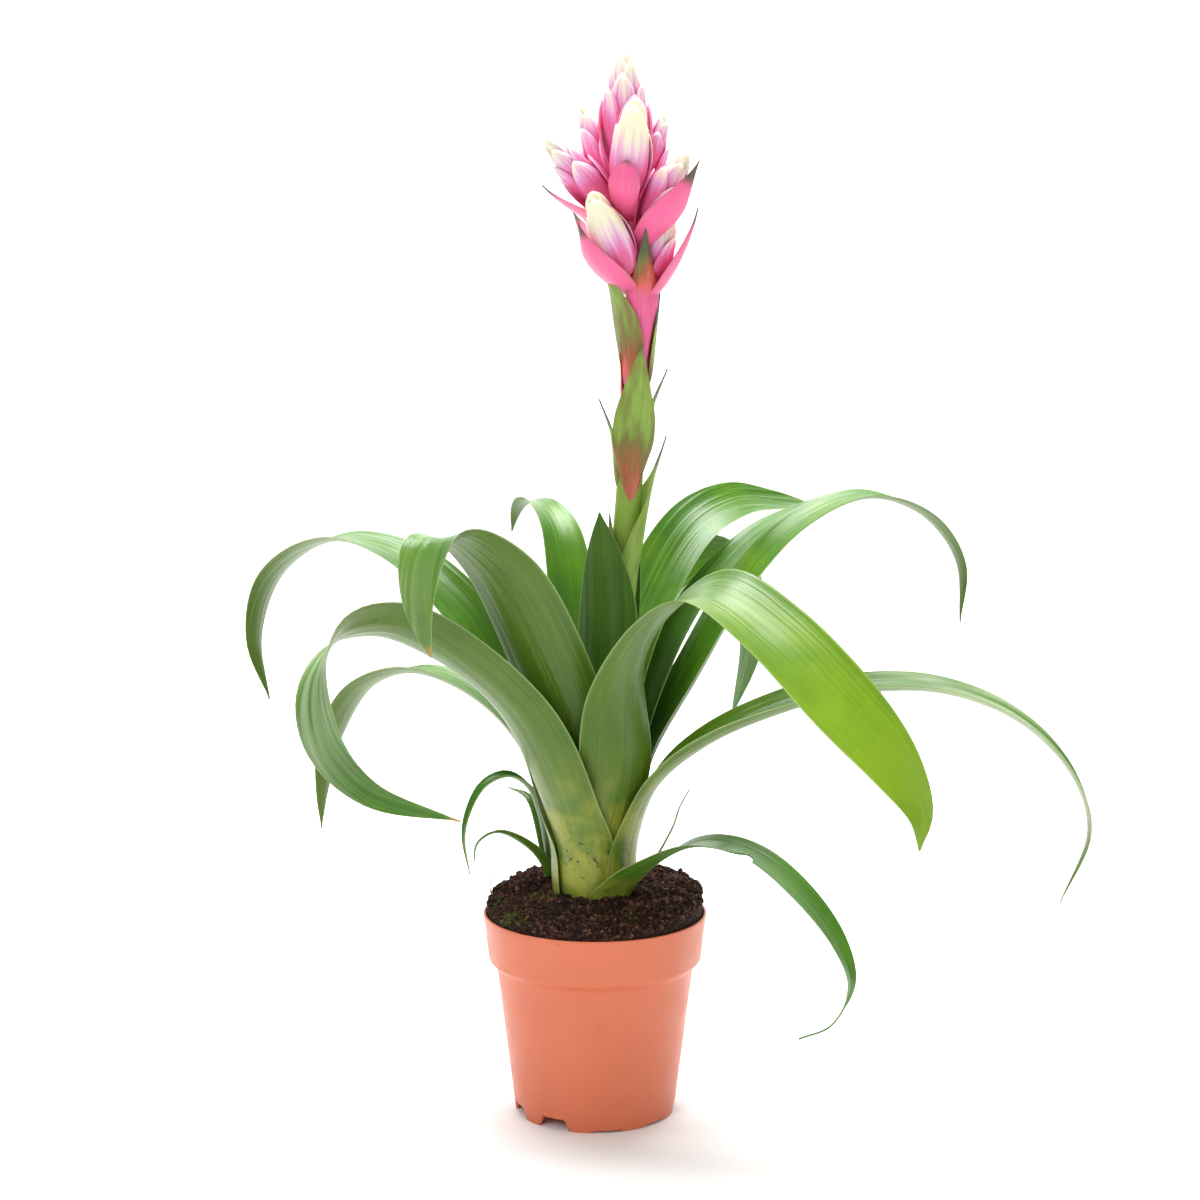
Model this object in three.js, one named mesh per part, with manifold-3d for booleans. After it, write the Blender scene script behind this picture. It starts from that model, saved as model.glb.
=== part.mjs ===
// A guzmania with a pink and cream flower head, growing in a 12 cm nursery pot.
// Millimetres, +Z up. The origin is the middle of the pot's foot, on the surface it stands on.
// +X is to the viewer's right and -Y is towards the viewer. Azimuths are in degrees from +X towards +Y.

import * as THREE from "three";
import Module from "manifold-3d";
import { mergeVertices } from "three/addons/utils/BufferGeometryUtils.js";

const wasm = await Module();
wasm.setup();

// Driving dimensions of the pot.
const RIM_RADIUS = 60;
const POT_HEIGHT = 110;
const BAND_RADIUS = 57.2;
const BAND_BOTTOM = 84;
const BODY_TOP_RADIUS = 53;
const FOOT_RADIUS = 43;
const WALL = 1.4;
const FLOOR_THICKNESS = 1.6;
const FLOOR_LIFT = 7;
const BOSS_RADIUS = 20;
const FEET = 9;
const FIRST_NOTCH = 199;
const NOTCH_WIDTH = 17.5;
const NOTCH_HEIGHT = 6.5;
const SHALLOW_NOTCH = 1.2;
const DEEP_NOTCHES = [0, 1, 4, 5];
const HOLE_SIZE = 6;
const POT_SIDES = 32;

// The peat stands a little above the rim and has a plain hole for each plant base.
const SOIL_DROP = 13;
const SOIL_CROWN = 123;
const SOIL_RADIUS = 57.6;
const SOIL_LUMP = 1.4;
const GAP = 0.3;

// The rosette is a tube of nested leaf sheaths, one layer inside the next.
const COLLAR_LOW = 100;
const COLLAR_HIGH = 104;
const SHEATH_FOOT = 104.4;
const SHEATH_TOP = 152;
const LOW_SHEATH_TOP = 125;
const TUBE_RADIUS = 20.8;
const TUBE_FLARE = 0.085;
const LAYER_PITCH = 1.4;
const LEAF_THICKNESS = 0.8;
const HOLE_RADIUS = 23.2;
const OFFSET_PLACE = [-22.5, 23];
const OFFSET_HOLE_RADIUS = 6.8;

// Leaf blades: stations along the midrib and strips across.
const LEAF_STATIONS = 14;
const LEAF_STRIPS = 6;
const BRACT_THICKNESS = 0.9;
const BRACT_STATIONS = 7;
const BRACT_STRIPS = 3;
const GOLDEN_ANGLE = 2.39996;
const HEAD_FOOT = 380;

// Outline of the room that a cone's neighbours leave it, as [share of its radius, share of its length].
const CONE_ROOM = [[0, -0.05], [0.4, 0], [0.86, 0.1], [1.2, 0.33], [1.2, 0.62], [0.78, 0.9], [0, 1.07]];

const SIMPLE = 0.05;

const finish = (color, roughness) => new THREE.MeshStandardMaterial({ color, roughness, metalness: 0 });
const TERRACOTTA = finish(0xd97b5a, 0.45);
const PEAT = finish(0x2e1d17, 0.95);
const LEAF_GREEN = finish(0x5c8f3c, 0.4);
const YOUNG_GREEN = finish(0x3f7d28, 0.4);
const STALK_GREEN = finish(0x83a84e, 0.5);
const BRACT_PINK = finish(0xf0689c, 0.5);
const CREAM_PINK = finish(0xf6c9c4, 0.55);

const radians = THREE.MathUtils.degToRad;
const lerp = THREE.MathUtils.lerp;

/** 0 before a, 1 after b, smooth between. */
function ease(a, b, x) {
  const t = THREE.MathUtils.clamp((x - a) / (b - a), 0, 1);
  return t * t * (3 - 2 * t);
}

/** A direction in the ground plane. */
const heading = (azimuth) => new THREE.Vector3(Math.cos(azimuth), Math.sin(azimuth), 0);

/** Turns a closed geometry into a solid that can be joined or cut. */
function solid(geometry) {
  const bare = geometry.clone();
  for (const name of Object.keys(bare.attributes)) if (name !== "position") bare.deleteAttribute(name);
  const merged = mergeVertices(bare, 1e-4);
  return new wasm.Manifold(
    new wasm.Mesh({
      numProp: 3,
      vertProperties: merged.attributes.position.array,
      triVerts: new Uint32Array(merged.index.array),
    }),
  );
}

/** The largest single body of a solid, as a geometry. */
function geometryOf(body) {
  const pieces = body.simplify(SIMPLE).decompose().sort((a, b) => b.volume() - a.volume());
  const { numProp, vertProperties, triVerts } = pieces[0].getMesh();
  const geometry = new THREE.BufferGeometry();
  geometry.setAttribute("position", new THREE.BufferAttribute(new Float32Array(vertProperties), numProp));
  geometry.setIndex(new THREE.BufferAttribute(new Uint32Array(triVerts), 1));
  geometry.computeVertexNormals();
  return geometry;
}

/** A lathe profile given as [radius, height] pairs, turned about +Z. */
function turned(profile, sides) {
  const points = profile.map(([radius, height]) => new THREE.Vector2(radius, height));
  return new THREE.LatheGeometry(points, sides).rotateX(Math.PI / 2);
}

/** Closes two like grids of points, an upper face and a lower one, into a thin blade. */
function bladeGeometry(upper, lower) {
  const rows = upper.length;
  const columns = upper[0].length;
  const positions = [...upper.flat(), ...lower.flat()].flatMap((point) => point.toArray());
  const top = (i, j) => i * columns + j;
  const under = (i, j) => rows * columns + top(i, j);
  const index = [];
  const quad = (a, b, c, d) => index.push(a, b, c, a, c, d);
  for (let i = 0; i < rows - 1; i++) {
    for (let j = 0; j < columns - 1; j++) {
      quad(top(i, j), top(i + 1, j), top(i + 1, j + 1), top(i, j + 1));
      quad(under(i + 1, j + 1), under(i + 1, j), under(i, j), under(i, j + 1));
    }
    quad(top(i, 0), under(i, 0), under(i + 1, 0), top(i + 1, 0));
    quad(top(i, columns - 1), top(i + 1, columns - 1), under(i + 1, columns - 1), under(i, columns - 1));
  }
  for (let j = 0; j < columns - 1; j++) {
    quad(top(0, j), top(0, j + 1), under(0, j + 1), under(0, j));
    quad(top(rows - 1, j), under(rows - 1, j), under(rows - 1, j + 1), top(rows - 1, j + 1));
  }
  const geometry = new THREE.BufferGeometry();
  geometry.setAttribute("position", new THREE.Float32BufferAttribute(positions, 3));
  geometry.setIndex(index);
  geometry.computeVertexNormals();
  return geometry;
}

/** Gives a grid of points a thickness, half to each side of it. */
function thicken(grid, thicknessAt) {
  const rows = grid.length;
  const columns = grid[0].length;
  const upper = [];
  const lower = [];
  for (let i = 0; i < rows; i++) {
    upper.push([]);
    lower.push([]);
    for (let j = 0; j < columns; j++) {
      const along = grid[Math.min(i + 1, rows - 1)][j].clone().sub(grid[Math.max(i - 1, 0)][j]);
      const across = grid[i][Math.min(j + 1, columns - 1)].clone().sub(grid[i][Math.max(j - 1, 0)]);
      const normal = along.cross(across).normalize();
      const half = thicknessAt(i / (rows - 1)) / 2;
      upper[i].push(grid[i][j].clone().addScaledVector(normal, half));
      lower[i].push(grid[i][j].clone().addScaledVector(normal, -half));
    }
  }
  return bladeGeometry(upper, lower);
}

/** Points evenly spaced along a smooth curve, each with a frame that doesn't spin: along, across and face. */
function framesAlong(route, count, startAcross) {
  const curve = new THREE.CatmullRomCurve3(route, false, "centripetal");
  curve.arcLengthDivisions = 400;
  curve.updateArcLengths();
  const frames = [];
  let across = startAcross.clone();
  for (let i = 0; i < count; i++) {
    const at = i / (count - 1);
    const along = curve.getTangentAt(at);
    across = across.addScaledVector(along, -across.dot(along)).normalize();
    frames.push({ at, point: curve.getPointAt(at), along, across: across.clone() });
  }
  return { frames, length: curve.getLength() };
}

/** Radius of the rosette's tube at a height, for a sheath layer counted from the outermost. */
function tubeRadius(height, layer) {
  return TUBE_RADIUS + TUBE_FLARE * (height - COLLAR_HIGH) - LAYER_PITCH * layer;
}

// Each leaf: azimuth of its root, sheath layer, half-angle of its sheath, width of its blade, how deep its
// channel is on the rise and in the fall (half-angles of its arc), its roll at the crest and at the tip,
// where on its length it leans into the first and twists to the second, where its taper starts, how much of
// that is a thread, and the midrib's route above the sheath as [x, y, z].
const LEAVES = [
  {
    name: "leaf_long_right", azimuth: 345, layer: 1, wrap: 58, width: 36, rise: 52, fall: 30, roll: [20, 24],
    taper: 0.3,
    route: [[33, -8, 180], [58, -8, 202], [93, -4, 218], [136, 2, 229], [184, 6, 229], [227, 8, 212],
      [258, 10, 182], [268, 12, 151], [254, 14, 110]],
  },
  {
    name: "leaf_curled_left", azimuth: 236, layer: 2, wrap: 66, width: 41, rise: 40, fall: 22,
    roll: [18, -42], lean: [0.36, 0.62], twist: [0.6, 0.82], taper: 0.22,
    route: [[-20, -26, 182], [-39, -40, 224], [-73, -60, 261], [-102, -76, 279], [-126, -91, 277],
      [-139, -105, 257], [-133, -118, 228], [-110, -128, 206], [-65, -137, 194]],
  },
  {
    name: "leaf_broad_right", azimuth: 285, layer: 3, wrap: 38, width: 46, rise: 38, fall: 15, roll: [42, 52],
    taper: 0.74,
    route: [[13, -24, 189], [16, -42, 240], [33, -62, 278], [57, -82, 297], [87, -102, 281], [120, -122, 249],
      [147, -135, 219], [160, -140, 197], [160, -142, 180]],
  },
  {
    name: "leaf_broad_left", azimuth: 258, layer: 4, wrap: 36, width: 44, rise: 36, fall: 20, roll: [0, -26],
    taper: 0.66, stations: 18,
    route: [[-10, -26, 205], [-26, -44, 256], [-48, -63, 303], [-69, -81, 324], [-79, -92, 325],
      [-84, -101, 313], [-85, -109, 294], [-80, -116, 271]],
  },
  {
    name: "leaf_high_left", azimuth: 154, layer: 5, wrap: 32, width: 38, rise: 44, fall: 22, roll: [-18, 26],
    taper: 0.5,
    route: [[-28, 16, 198], [-50, 29, 232], [-77, 41, 270], [-107, 50, 294], [-143, 58, 302],
      [-176, 64, 282], [-188, 66, 247], [-181, 66, 212]],
  },
  {
    name: "leaf_low_left", azimuth: 150, layer: 0, wrap: 62, width: 32, rise: 44, fall: 24, roll: [0, 16],
    taper: 0.45,
    route: [[-36, 30, 190], [-64, 50, 216], [-100, 66, 227], [-130, 78, 215], [-148, 87, 185],
      [-154, 92, 154], [-156, 96, 131]],
  },
  {
    name: "leaf_high_right", azimuth: 28, layer: 4, wrap: 34, width: 30, rise: 58, fall: 26, roll: [0, -14],
    taper: 0.5, strips: 4,
    route: [[29.5, 15, 193], [53, 15, 236], [81, 18, 285], [111, 26, 316], [145, 36, 329], [179, 48, 317],
      [199, 57, 290], [201, 62, 256]],
  },
  {
    name: "leaf_rear_right", azimuth: 28, layer: 5, wrap: 26, width: 24, rise: 44, fall: 22, roll: [12, 0],
    taper: 0.5, strips: 4,
    route: [[29, 18, 219], [52, 38, 268], [86, 57, 305], [116, 80, 318], [136, 100, 321], [151, 114, 318]],
  },
  {
    name: "leaf_arched_right", azimuth: 54, layer: 7, wrap: 42, width: 33, rise: 36, fall: 18, roll: [14, 34],
    taper: 0.5, strips: 4,
    route: [[14, 23, 232], [31, 40, 278], [53, 62, 310], [78, 90, 320], [102, 119, 316], [117, 138, 312],
      [126, 150, 309]],
  },
  {
    name: "leaf_drooping_rear", azimuth: 98, layer: 6, wrap: 28, width: 24, rise: 40, fall: 18, roll: [0, 60],
    taper: 0.74, strips: 4,
    route: [[1, 27, 199], [14, 56, 245], [44, 96, 275], [69, 127, 283], [87, 144, 262], [90, 150, 227],
      [80, 154, 184]],
  },
  {
    name: "leaf_rear_left", azimuth: 120, layer: 8, wrap: 42, width: 31, rise: 34, fall: 30, roll: [0, 0],
    taper: 0.5, strips: 4,
    route: [[-10, 17, 225], [-14, 32, 275], [-20, 52, 309], [-29, 70, 320], [-38, 87, 320],
      [-44, 100, 312], [-47, 108, 300]],
  },
  {
    name: "leaf_young_front", azimuth: 252, layer: 8, wrap: 62, width: 35, rise: 48, fall: 26, roll: [0, 0],
    taper: 0.66, stations: 9,
    route: [[1, -18, 210], [6, -20, 270], [2.5, -20, 329]],
  },
  {
    name: "leaf_young_rear", azimuth: 48, layer: 9, wrap: 60, width: 26, rise: 48, fall: 26, roll: [0, 0],
    taper: 0.45, stations: 8,
    route: [[11, 9, 210], [18, 11, 265], [24, 12, 314]],
  },
  {
    name: "leaf_small_front", azimuth: 304, layer: 0, wrap: 44, width: 28, rise: 24, fall: 15, roll: [26, 32],
    taper: 0.42, thread: 0.2, low: true,
    route: [[31, -38, 146], [54, -46, 158], [80, -54, 155], [105, -66, 138], [125, -74, 113], [131, -80, 93],
      [121, -86, 74], [104, -90, 68]],
  },
];

/** How wide the blade is along the leaf, before and after it leaves its sheath. */
function leafWidth(leaf, at, sheathShare, sheathWidth) {
  const thread = leaf.thread ?? 0;
  const along = THREE.MathUtils.clamp((at - leaf.taper) / (1 - leaf.taper) / (1 - thread), 0, 1);
  const blade = leaf.width * Math.max(1 - along * along * (0.55 + 0.45 * along), 0.035);
  return lerp(sheathWidth, blade, ease(sheathShare * 0.55, sheathShare * 1.5, at));
}

/** The middle surface of a leaf, as rows of points across it. */
function leafGrid(leaf) {
  const azimuth = radians(leaf.azimuth);
  const sheathTop = leaf.low ? LOW_SHEATH_TOP : SHEATH_TOP;
  const feet = [SHEATH_FOOT, (SHEATH_FOOT + sheathTop) / 2, sheathTop].map((height) => {
    return heading(azimuth).multiplyScalar(tubeRadius(height, leaf.layer)).setZ(height);
  });
  const route = [...feet, ...leaf.route.map((point) => new THREE.Vector3(...point))];
  const startAcross = heading(azimuth + Math.PI / 2);
  const { frames, length } = framesAlong(route, leaf.stations ?? LEAF_STATIONS, startAcross);
  const sheathShare = (sheathTop - SHEATH_FOOT) / length;
  const strips = leaf.strips ?? LEAF_STRIPS;
  const lean = leaf.lean ?? [sheathShare, 0.45];
  const twist = leaf.twist ?? [0.45, 0.85];
  return frames.map(({ at, point, along, across }) => {
    const radius = Math.hypot(point.x, point.y);
    const width = leafWidth(leaf, at, sheathShare, 2 * radians(leaf.wrap) * radius);
    const freed = ease(sheathShare * 0.9, sheathShare * 2.2, at);
    const roll = lerp(leaf.roll[0] * ease(...lean, at), leaf.roll[1], ease(...twist, at));
    const side = across.clone().applyAxisAngle(along, radians(roll));
    const cup = radians(lerp(leaf.rise, leaf.fall, ease(0.3, 0.75, at)));
    const outward = Math.atan2(point.y, point.x);
    const open = arcAcross(point, side, along.clone().cross(side), width, cup, strips);
    return open.map((end, j) => {
      const turn = (((2 * j) / strips - 1) * width) / 2 / radius;
      return heading(outward + turn).multiplyScalar(radius).setZ(point.z).lerp(end, freed);
    });
  });
}

/** Points on an arc through the middle point, curling towards the face. */
function arcAcross(middle, side, face, width, cup, strips) {
  const bend = width / 2 / cup;
  return Array.from({ length: strips + 1 }, (_, j) => {
    const turn = ((2 * j) / strips - 1) * cup;
    const aside = middle.clone().addScaledVector(side, bend * Math.sin(turn));
    return aside.addScaledVector(face, bend * (1 - Math.cos(turn)));
  });
}

/** A mesh with its name and finish. */
function part(name, geometry, material) {
  const mesh = new THREE.Mesh(geometry, material);
  mesh.name = name;
  return mesh;
}

/** The pot: an open tapered cup with a band at its rim, a pressed-down middle and notches in its foot. */
function potGeometry() {
  const profile = [
    [0, 0], [BOSS_RADIUS, 0], [BOSS_RADIUS + 6, FLOOR_LIFT], [FOOT_RADIUS - WALL - 0.8, FLOOR_LIFT],
    [FOOT_RADIUS - WALL, 0.4], [FOOT_RADIUS - 0.6, 0], [FOOT_RADIUS, 0.6], [BODY_TOP_RADIUS, BAND_BOTTOM - 3],
    [BAND_RADIUS - 1.2, BAND_BOTTOM], [BAND_RADIUS, BAND_BOTTOM + 1.4], [RIM_RADIUS, POT_HEIGHT - 0.8],
    [RIM_RADIUS - 0.6, POT_HEIGHT], [RIM_RADIUS - WALL, POT_HEIGHT - 0.4],
    [BAND_RADIUS - WALL, BAND_BOTTOM + 4], [BODY_TOP_RADIUS - WALL, BAND_BOTTOM - 2],
    [FOOT_RADIUS - WALL + 0.9, FLOOR_LIFT + FLOOR_THICKNESS],
    [BOSS_RADIUS + 5.4, FLOOR_LIFT + FLOOR_THICKNESS], [BOSS_RADIUS - 0.4, FLOOR_THICKNESS],
    [0, FLOOR_THICKNESS],
  ];
  let pot = solid(turned(profile, POT_SIDES));
  for (let k = 0; k < FEET; k++) {
    const deep = DEEP_NOTCHES.includes(k);
    const height = deep ? NOTCH_HEIGHT : SHALLOW_NOTCH;
    const box = new THREE.BoxGeometry(12, NOTCH_WIDTH, height + 2);
    box.translate(FOOT_RADIUS, 0, height / 2 - 1).rotateZ(radians(FIRST_NOTCH + (k * 360) / FEET));
    pot = pot.subtract(solid(box));
    if (deep) {
      const hole = new THREE.CylinderGeometry(HOLE_SIZE / 2, HOLE_SIZE / 2, 8, 12).rotateX(Math.PI / 2);
      hole.translate(FOOT_RADIUS - 9, 0, FLOOR_LIFT).rotateZ(radians(FIRST_NOTCH + (k * 360) / FEET));
      pot = pot.subtract(solid(hole));
    }
  }
  return geometryOf(pot);
}

/** A number from 0 to 1 that looks random but is always the same for the same seed. */
function scatter(seed) {
  const s = Math.sin(seed * 127.1 + 311.7) * 43758.5453;
  return s - Math.floor(s);
}

/** Height of the peat at a place: a lumpy mound that stays high at the back and falls to the rim in front. */
function soilHeight(radius, azimuth, ring, sector) {
  const share = radius / SOIL_RADIUS;
  const bank = Math.min(1, 0.57 + 0.53 * Math.cos(azimuth - radians(70)));
  const lump = SOIL_LUMP * (2 * scatter(ring * 53 + sector) - 1) * (1 - 0.5 * share ** 6);
  return SOIL_CROWN - SOIL_DROP * share ** 2.5 * (1 - bank) + lump;
}

/** The peat that fills the pot, with a plain hole for each plant base. */
function soilGeometry() {
  const rings = 4;
  const sectors = 24;
  const wall = RIM_RADIUS - WALL - GAP;
  const lower = [[0, FLOOR_THICKNESS + GAP], [BOSS_RADIUS - 0.6, FLOOR_THICKNESS + GAP],
    [BOSS_RADIUS + 5, FLOOR_LIFT + FLOOR_THICKNESS + GAP],
    [FOOT_RADIUS - WALL + 0.5, FLOOR_LIFT + FLOOR_THICKNESS + GAP],
    [BODY_TOP_RADIUS - WALL - GAP - 0.2, BAND_BOTTOM - 2], [BAND_RADIUS - WALL - GAP - 0.2, BAND_BOTTOM + 4],
    [wall - 0.3, POT_HEIGHT - 3]];
  const loops = lower.slice(1).map(([radius, height]) => (azimuth) => [radius, height]);
  for (let ring = rings; ring >= 1; ring--) {
    const radius = (SOIL_RADIUS * ring) / rings;
    loops.push((azimuth, sector) => [radius, soilHeight(radius, azimuth, ring, sector)]);
  }
  const positions = [0, 0, lower[0][1]];
  loops.forEach((loop) => {
    for (let sector = 0; sector < sectors; sector++) {
      const azimuth = (2 * Math.PI * sector) / sectors;
      const [radius, height] = loop(azimuth, sector);
      positions.push(radius * Math.cos(azimuth), radius * Math.sin(azimuth), height);
    }
  });
  positions.push(0, 0, SOIL_CROWN);
  const index = [];
  const at = (loop, sector) => 1 + loop * sectors + (sector % sectors);
  const last = positions.length / 3 - 1;
  for (let sector = 0; sector < sectors; sector++) {
    index.push(0, at(0, sector + 1), at(0, sector));
    for (let loop = 0; loop < loops.length - 1; loop++) {
      index.push(at(loop, sector), at(loop, sector + 1), at(loop + 1, sector + 1));
      index.push(at(loop, sector), at(loop + 1, sector + 1), at(loop + 1, sector));
    }
    index.push(last, at(loops.length - 1, sector), at(loops.length - 1, sector + 1));
  }
  const geometry = new THREE.BufferGeometry();
  geometry.setAttribute("position", new THREE.Float32BufferAttribute(positions, 3));
  geometry.setIndex(index);
  const holes = [[0, 0, HOLE_RADIUS], [OFFSET_PLACE[0], OFFSET_PLACE[1], OFFSET_HOLE_RADIUS]];
  return geometryOf(holes.reduce((soil, [x, y, radius]) => {
    const hole = new THREE.CylinderGeometry(radius, radius, 60, 24).rotateX(Math.PI / 2);
    return soil.subtract(solid(hole.translate(x, y, COLLAR_LOW - GAP + 30)));
  }, solid(geometry)));
}

const STALK_ROUTE = [
  [0, 0, 70], [0, 0, 120], [6, 0, 210], [16, 0, 305], [20, 0, 375], [23, 0, 417], [20, 0, 460], [16, 0, 495],
  [15, 0, 550],
];
/** The middle line of the flower stalk. */
const STALK = new THREE.CatmullRomCurve3(
  STALK_ROUTE.map((point) => new THREE.Vector3(...point)), false, "centripetal");
/** The middle of the flower stalk at a height. */
function stalkAt(height) {
  let low = 0;
  let high = 1;
  for (let step = 0; step < 24; step++) {
    const middle = (low + high) / 2;
    if (STALK.getPoint(middle).z < height) low = middle;
    else high = middle;
  }
  return STALK.getPoint(low);
}

/** A round stem through rings of [height, radius] about the stalk's middle line. */
function stemGeometry(rings, sides) {
  const positions = [];
  rings.forEach(([height, radius]) => {
    const centre = stalkAt(height);
    for (let k = 0; k < sides; k++) {
      positions.push(...heading((2 * Math.PI * k) / sides).multiplyScalar(radius).add(centre).toArray());
    }
  });
  const first = positions.length / 3;
  positions.push(...stalkAt(rings[0][0]).toArray(), ...stalkAt(rings[rings.length - 1][0]).toArray());
  const index = [];
  const at = (ring, k) => ring * sides + (k % sides);
  for (let k = 0; k < sides; k++) {
    index.push(first, at(0, k + 1), at(0, k));
    index.push(first + 1, at(rings.length - 1, k), at(rings.length - 1, k + 1));
    for (let ring = 0; ring < rings.length - 1; ring++) {
      index.push(at(ring, k), at(ring, k + 1), at(ring + 1, k + 1));
      index.push(at(ring, k), at(ring + 1, k + 1), at(ring + 1, k));
    }
  }
  const geometry = new THREE.BufferGeometry();
  geometry.setAttribute("position", new THREE.Float32BufferAttribute(positions, 3));
  geometry.setIndex(index);
  return geometry;
}

/** Share of a bract's width along it: from its foot to its widest place, then to a point. */
function bractOutline(at, footShare, peak) {
  const rise = 1 - (1 - footShare) * Math.max(0, 1 - at / peak) ** 1.4;
  const fall = Math.max(0, (at - peak) / (1 - peak));
  return Math.max(rise - fall * fall * (0.55 + 0.45 * fall), 0.06);
}

/** A leaf-like bract along a route, with the half-angles of its arc at its foot and near its tip. */
function bractGeometry(route, startAcross, { width, clasp, open, thickness, footShare = 0.12, peak = 0.42 }) {
  const { frames } = framesAlong(route, BRACT_STATIONS, startAcross);
  const grid = frames.map(({ at, point, along, across }) => {
    const cup = radians(lerp(clasp, open, ease(0, 0.8, at)));
    const breadth = width * bractOutline(at, footShare, peak);
    return arcAcross(point, across, along.clone().cross(across), breadth, cup, BRACT_STRIPS);
  });
  return thicken(grid, () => thickness);
}

/** A bract that clasps the flower stalk: where it starts, its length, and how far its tip stands off. */
function scapeBract({ azimuth, height, length, width, lean, clasp = 70, footShare }, grow = 0) {
  const out = heading(radians(azimuth));
  const beside = heading(radians(azimuth + 90));
  const stand = [[0, 4.6], [0.12, 7.2], [0.65, 7.6 + lean * 0.35], [1, 7.6 + lean]];
  const route = stand.map(([share, offset]) => {
    return stalkAt(height + length * share).clone().addScaledVector(out, offset);
  });
  const thickness = BRACT_THICKNESS + 2 * grow;
  const shape = { clasp, open: 24, thickness, footShare };
  return solid(bractGeometry(route, beside, { width: width + 3 * grow, ...shape }));
}

/** The line a cone stands on: its foot, direction and length, and the side its spiral starts from. */
function coneFrame({ foot, tip }) {
  const base = new THREE.Vector3(...foot);
  const axis = new THREE.Vector3(...tip).sub(base);
  const length = axis.length();
  axis.normalize();
  return { base, axis, length, side: new THREE.Vector3(0, 1, 0).cross(axis).normalize() };
}

/** A turned solid along a cone's line, its profile in shares of the cone's radius and length. */
function coneTurned(cone, profile, sides) {
  const { base, axis, length } = coneFrame(cone);
  const points = profile.map(([reach, share]) => new THREE.Vector2(reach * cone.radius, share * length));
  const turn = new THREE.Quaternion().setFromUnitVectors(new THREE.Vector3(0, 1, 0), axis);
  return solid(new THREE.LatheGeometry(points, sides).applyQuaternion(turn).translate(...base.toArray()));
}

/** One cone of the flower head: a core with boat-shaped floral bracts set round it in a spiral. */
function coneBody(cone) {
  const { base, axis, length, side } = coneFrame(cone);
  const { radius, bracts, spin } = cone;
  const turn = (angle) => side.clone().applyAxisAngle(axis, angle);
  const place = (share, reach, angle) => {
    return base.clone().addScaledVector(axis, share * length).addScaledVector(turn(angle), reach);
  };
  let body = coneTurned(cone, [[0, 0], [0.42, 0.08], [0.55, 0.5], [0, 0.88]], 6);
  for (let k = 0; k < bracts; k++) {
    const share = k / (bracts - 1);
    const angle = radians(spin) + k * GOLDEN_ANGLE;
    const start = 0.02 + 0.5 * share;
    const end = Math.min(start + 0.5, 0.7 + 0.3 * share);
    const reach = radius * (1 - 0.3 * share);
    const route = [place(start, radius * 0.2, angle), place(lerp(start, end, 0.45), reach * 0.86, angle),
      place(end, reach * lerp(1.05, 0.1, share ** 1.4), angle)];
    body = body.add(petalBody(route, turn(angle), radius * 0.64, 1.6));
  }
  return body;
}

const CONE_ROOM_SIDES = 8;
/** The room a cone needs, its neighbours' share of which is cut away. */
const coneRoomOf = (cone) => coneTurned(cone, CONE_ROOM, CONE_ROOM_SIDES);

/** A boat-shaped bract: four corners round, pointed at both ends. */
function petalBody(route, outward, halfWidth, depth) {
  const halfway = route[0].clone().add(route[2]).multiplyScalar(0.5);
  const bend = route[1].clone().multiplyScalar(2).sub(halfway);
  const curve = new THREE.QuadraticBezierCurve3(route[0], bend, route[2]);
  const corners = [[-1, -0.5], [0, 0.6], [1, -0.5], [0, -0.4]];
  const positions = [];
  const sections = [[0.3, 0.95], [0.76, 0.8]];
  for (const [at, share] of sections) {
    const centre = curve.getPoint(at);
    const along = curve.getTangent(at);
    const across = along.clone().cross(outward).normalize();
    const face = across.clone().cross(along).normalize();
    for (const [u, v] of corners) {
      positions.push(...centre.clone().addScaledVector(across, -u * halfWidth * share)
        .addScaledVector(face, v * depth).toArray());
    }
  }
  const first = positions.length / 3;
  positions.push(...curve.getPoint(0).toArray(), ...curve.getPoint(1).toArray());
  const index = [];
  for (let k = 0; k < 4; k++) {
    const next = (k + 1) % 4;
    index.push(first, next, k, first + 1, 4 + k, 4 + next);
    index.push(k, next, next + 4, k, next + 4, k + 4);
  }
  const geometry = new THREE.BufferGeometry();
  geometry.setAttribute("position", new THREE.Float32BufferAttribute(positions, 3));
  geometry.setIndex(index);
  const body = solid(geometry);
  return body.volume() < 0 ? solid(flipped(geometry)) : body;
}

/** The same surface facing the other way. */
function flipped(geometry) {
  const other = geometry.clone();
  const index = [...other.index.array];
  for (let k = 0; k < index.length; k += 3) [index[k + 1], index[k + 2]] = [index[k + 2], index[k + 1]];
  other.setIndex(index);
  return other;
}

/** The pink bract below one cone, cupped round its outer side and ending in a dark point. */
function primaryBract(cone) {
  const { foot, tip, radius, bract, flare, spread = 2.3, turn = 0, peak } = cone;
  const { base, axis, length } = coneFrame(cone);
  const out = new THREE.Vector3(tip[0] - foot[0], tip[1] - foot[1], 0).normalize();
  const below = out.addScaledVector(axis, -out.dot(axis)).normalize().applyAxisAngle(axis, radians(turn));
  const stand = [[0.13, 0.95], [0.45, 1.25], [0.8, 1.22 + 0.6 * flare], [1, 1.08 + flare]];
  const route = stand.map(([share, reach]) => {
    const up = base.clone().addScaledVector(axis, share * bract * length);
    return up.addScaledVector(below, reach * radius + 1);
  });
  route.unshift(stalkAt(foot[2] - 12).clone().addScaledVector(below.clone().setZ(0).normalize(), 3));
  const shape = { clasp: 50, open: 30, thickness: BRACT_THICKNESS, footShare: 0.3, peak };
  return solid(bractGeometry(route, axis.clone().cross(below), { width: radius * spread, ...shape }));
}

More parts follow.
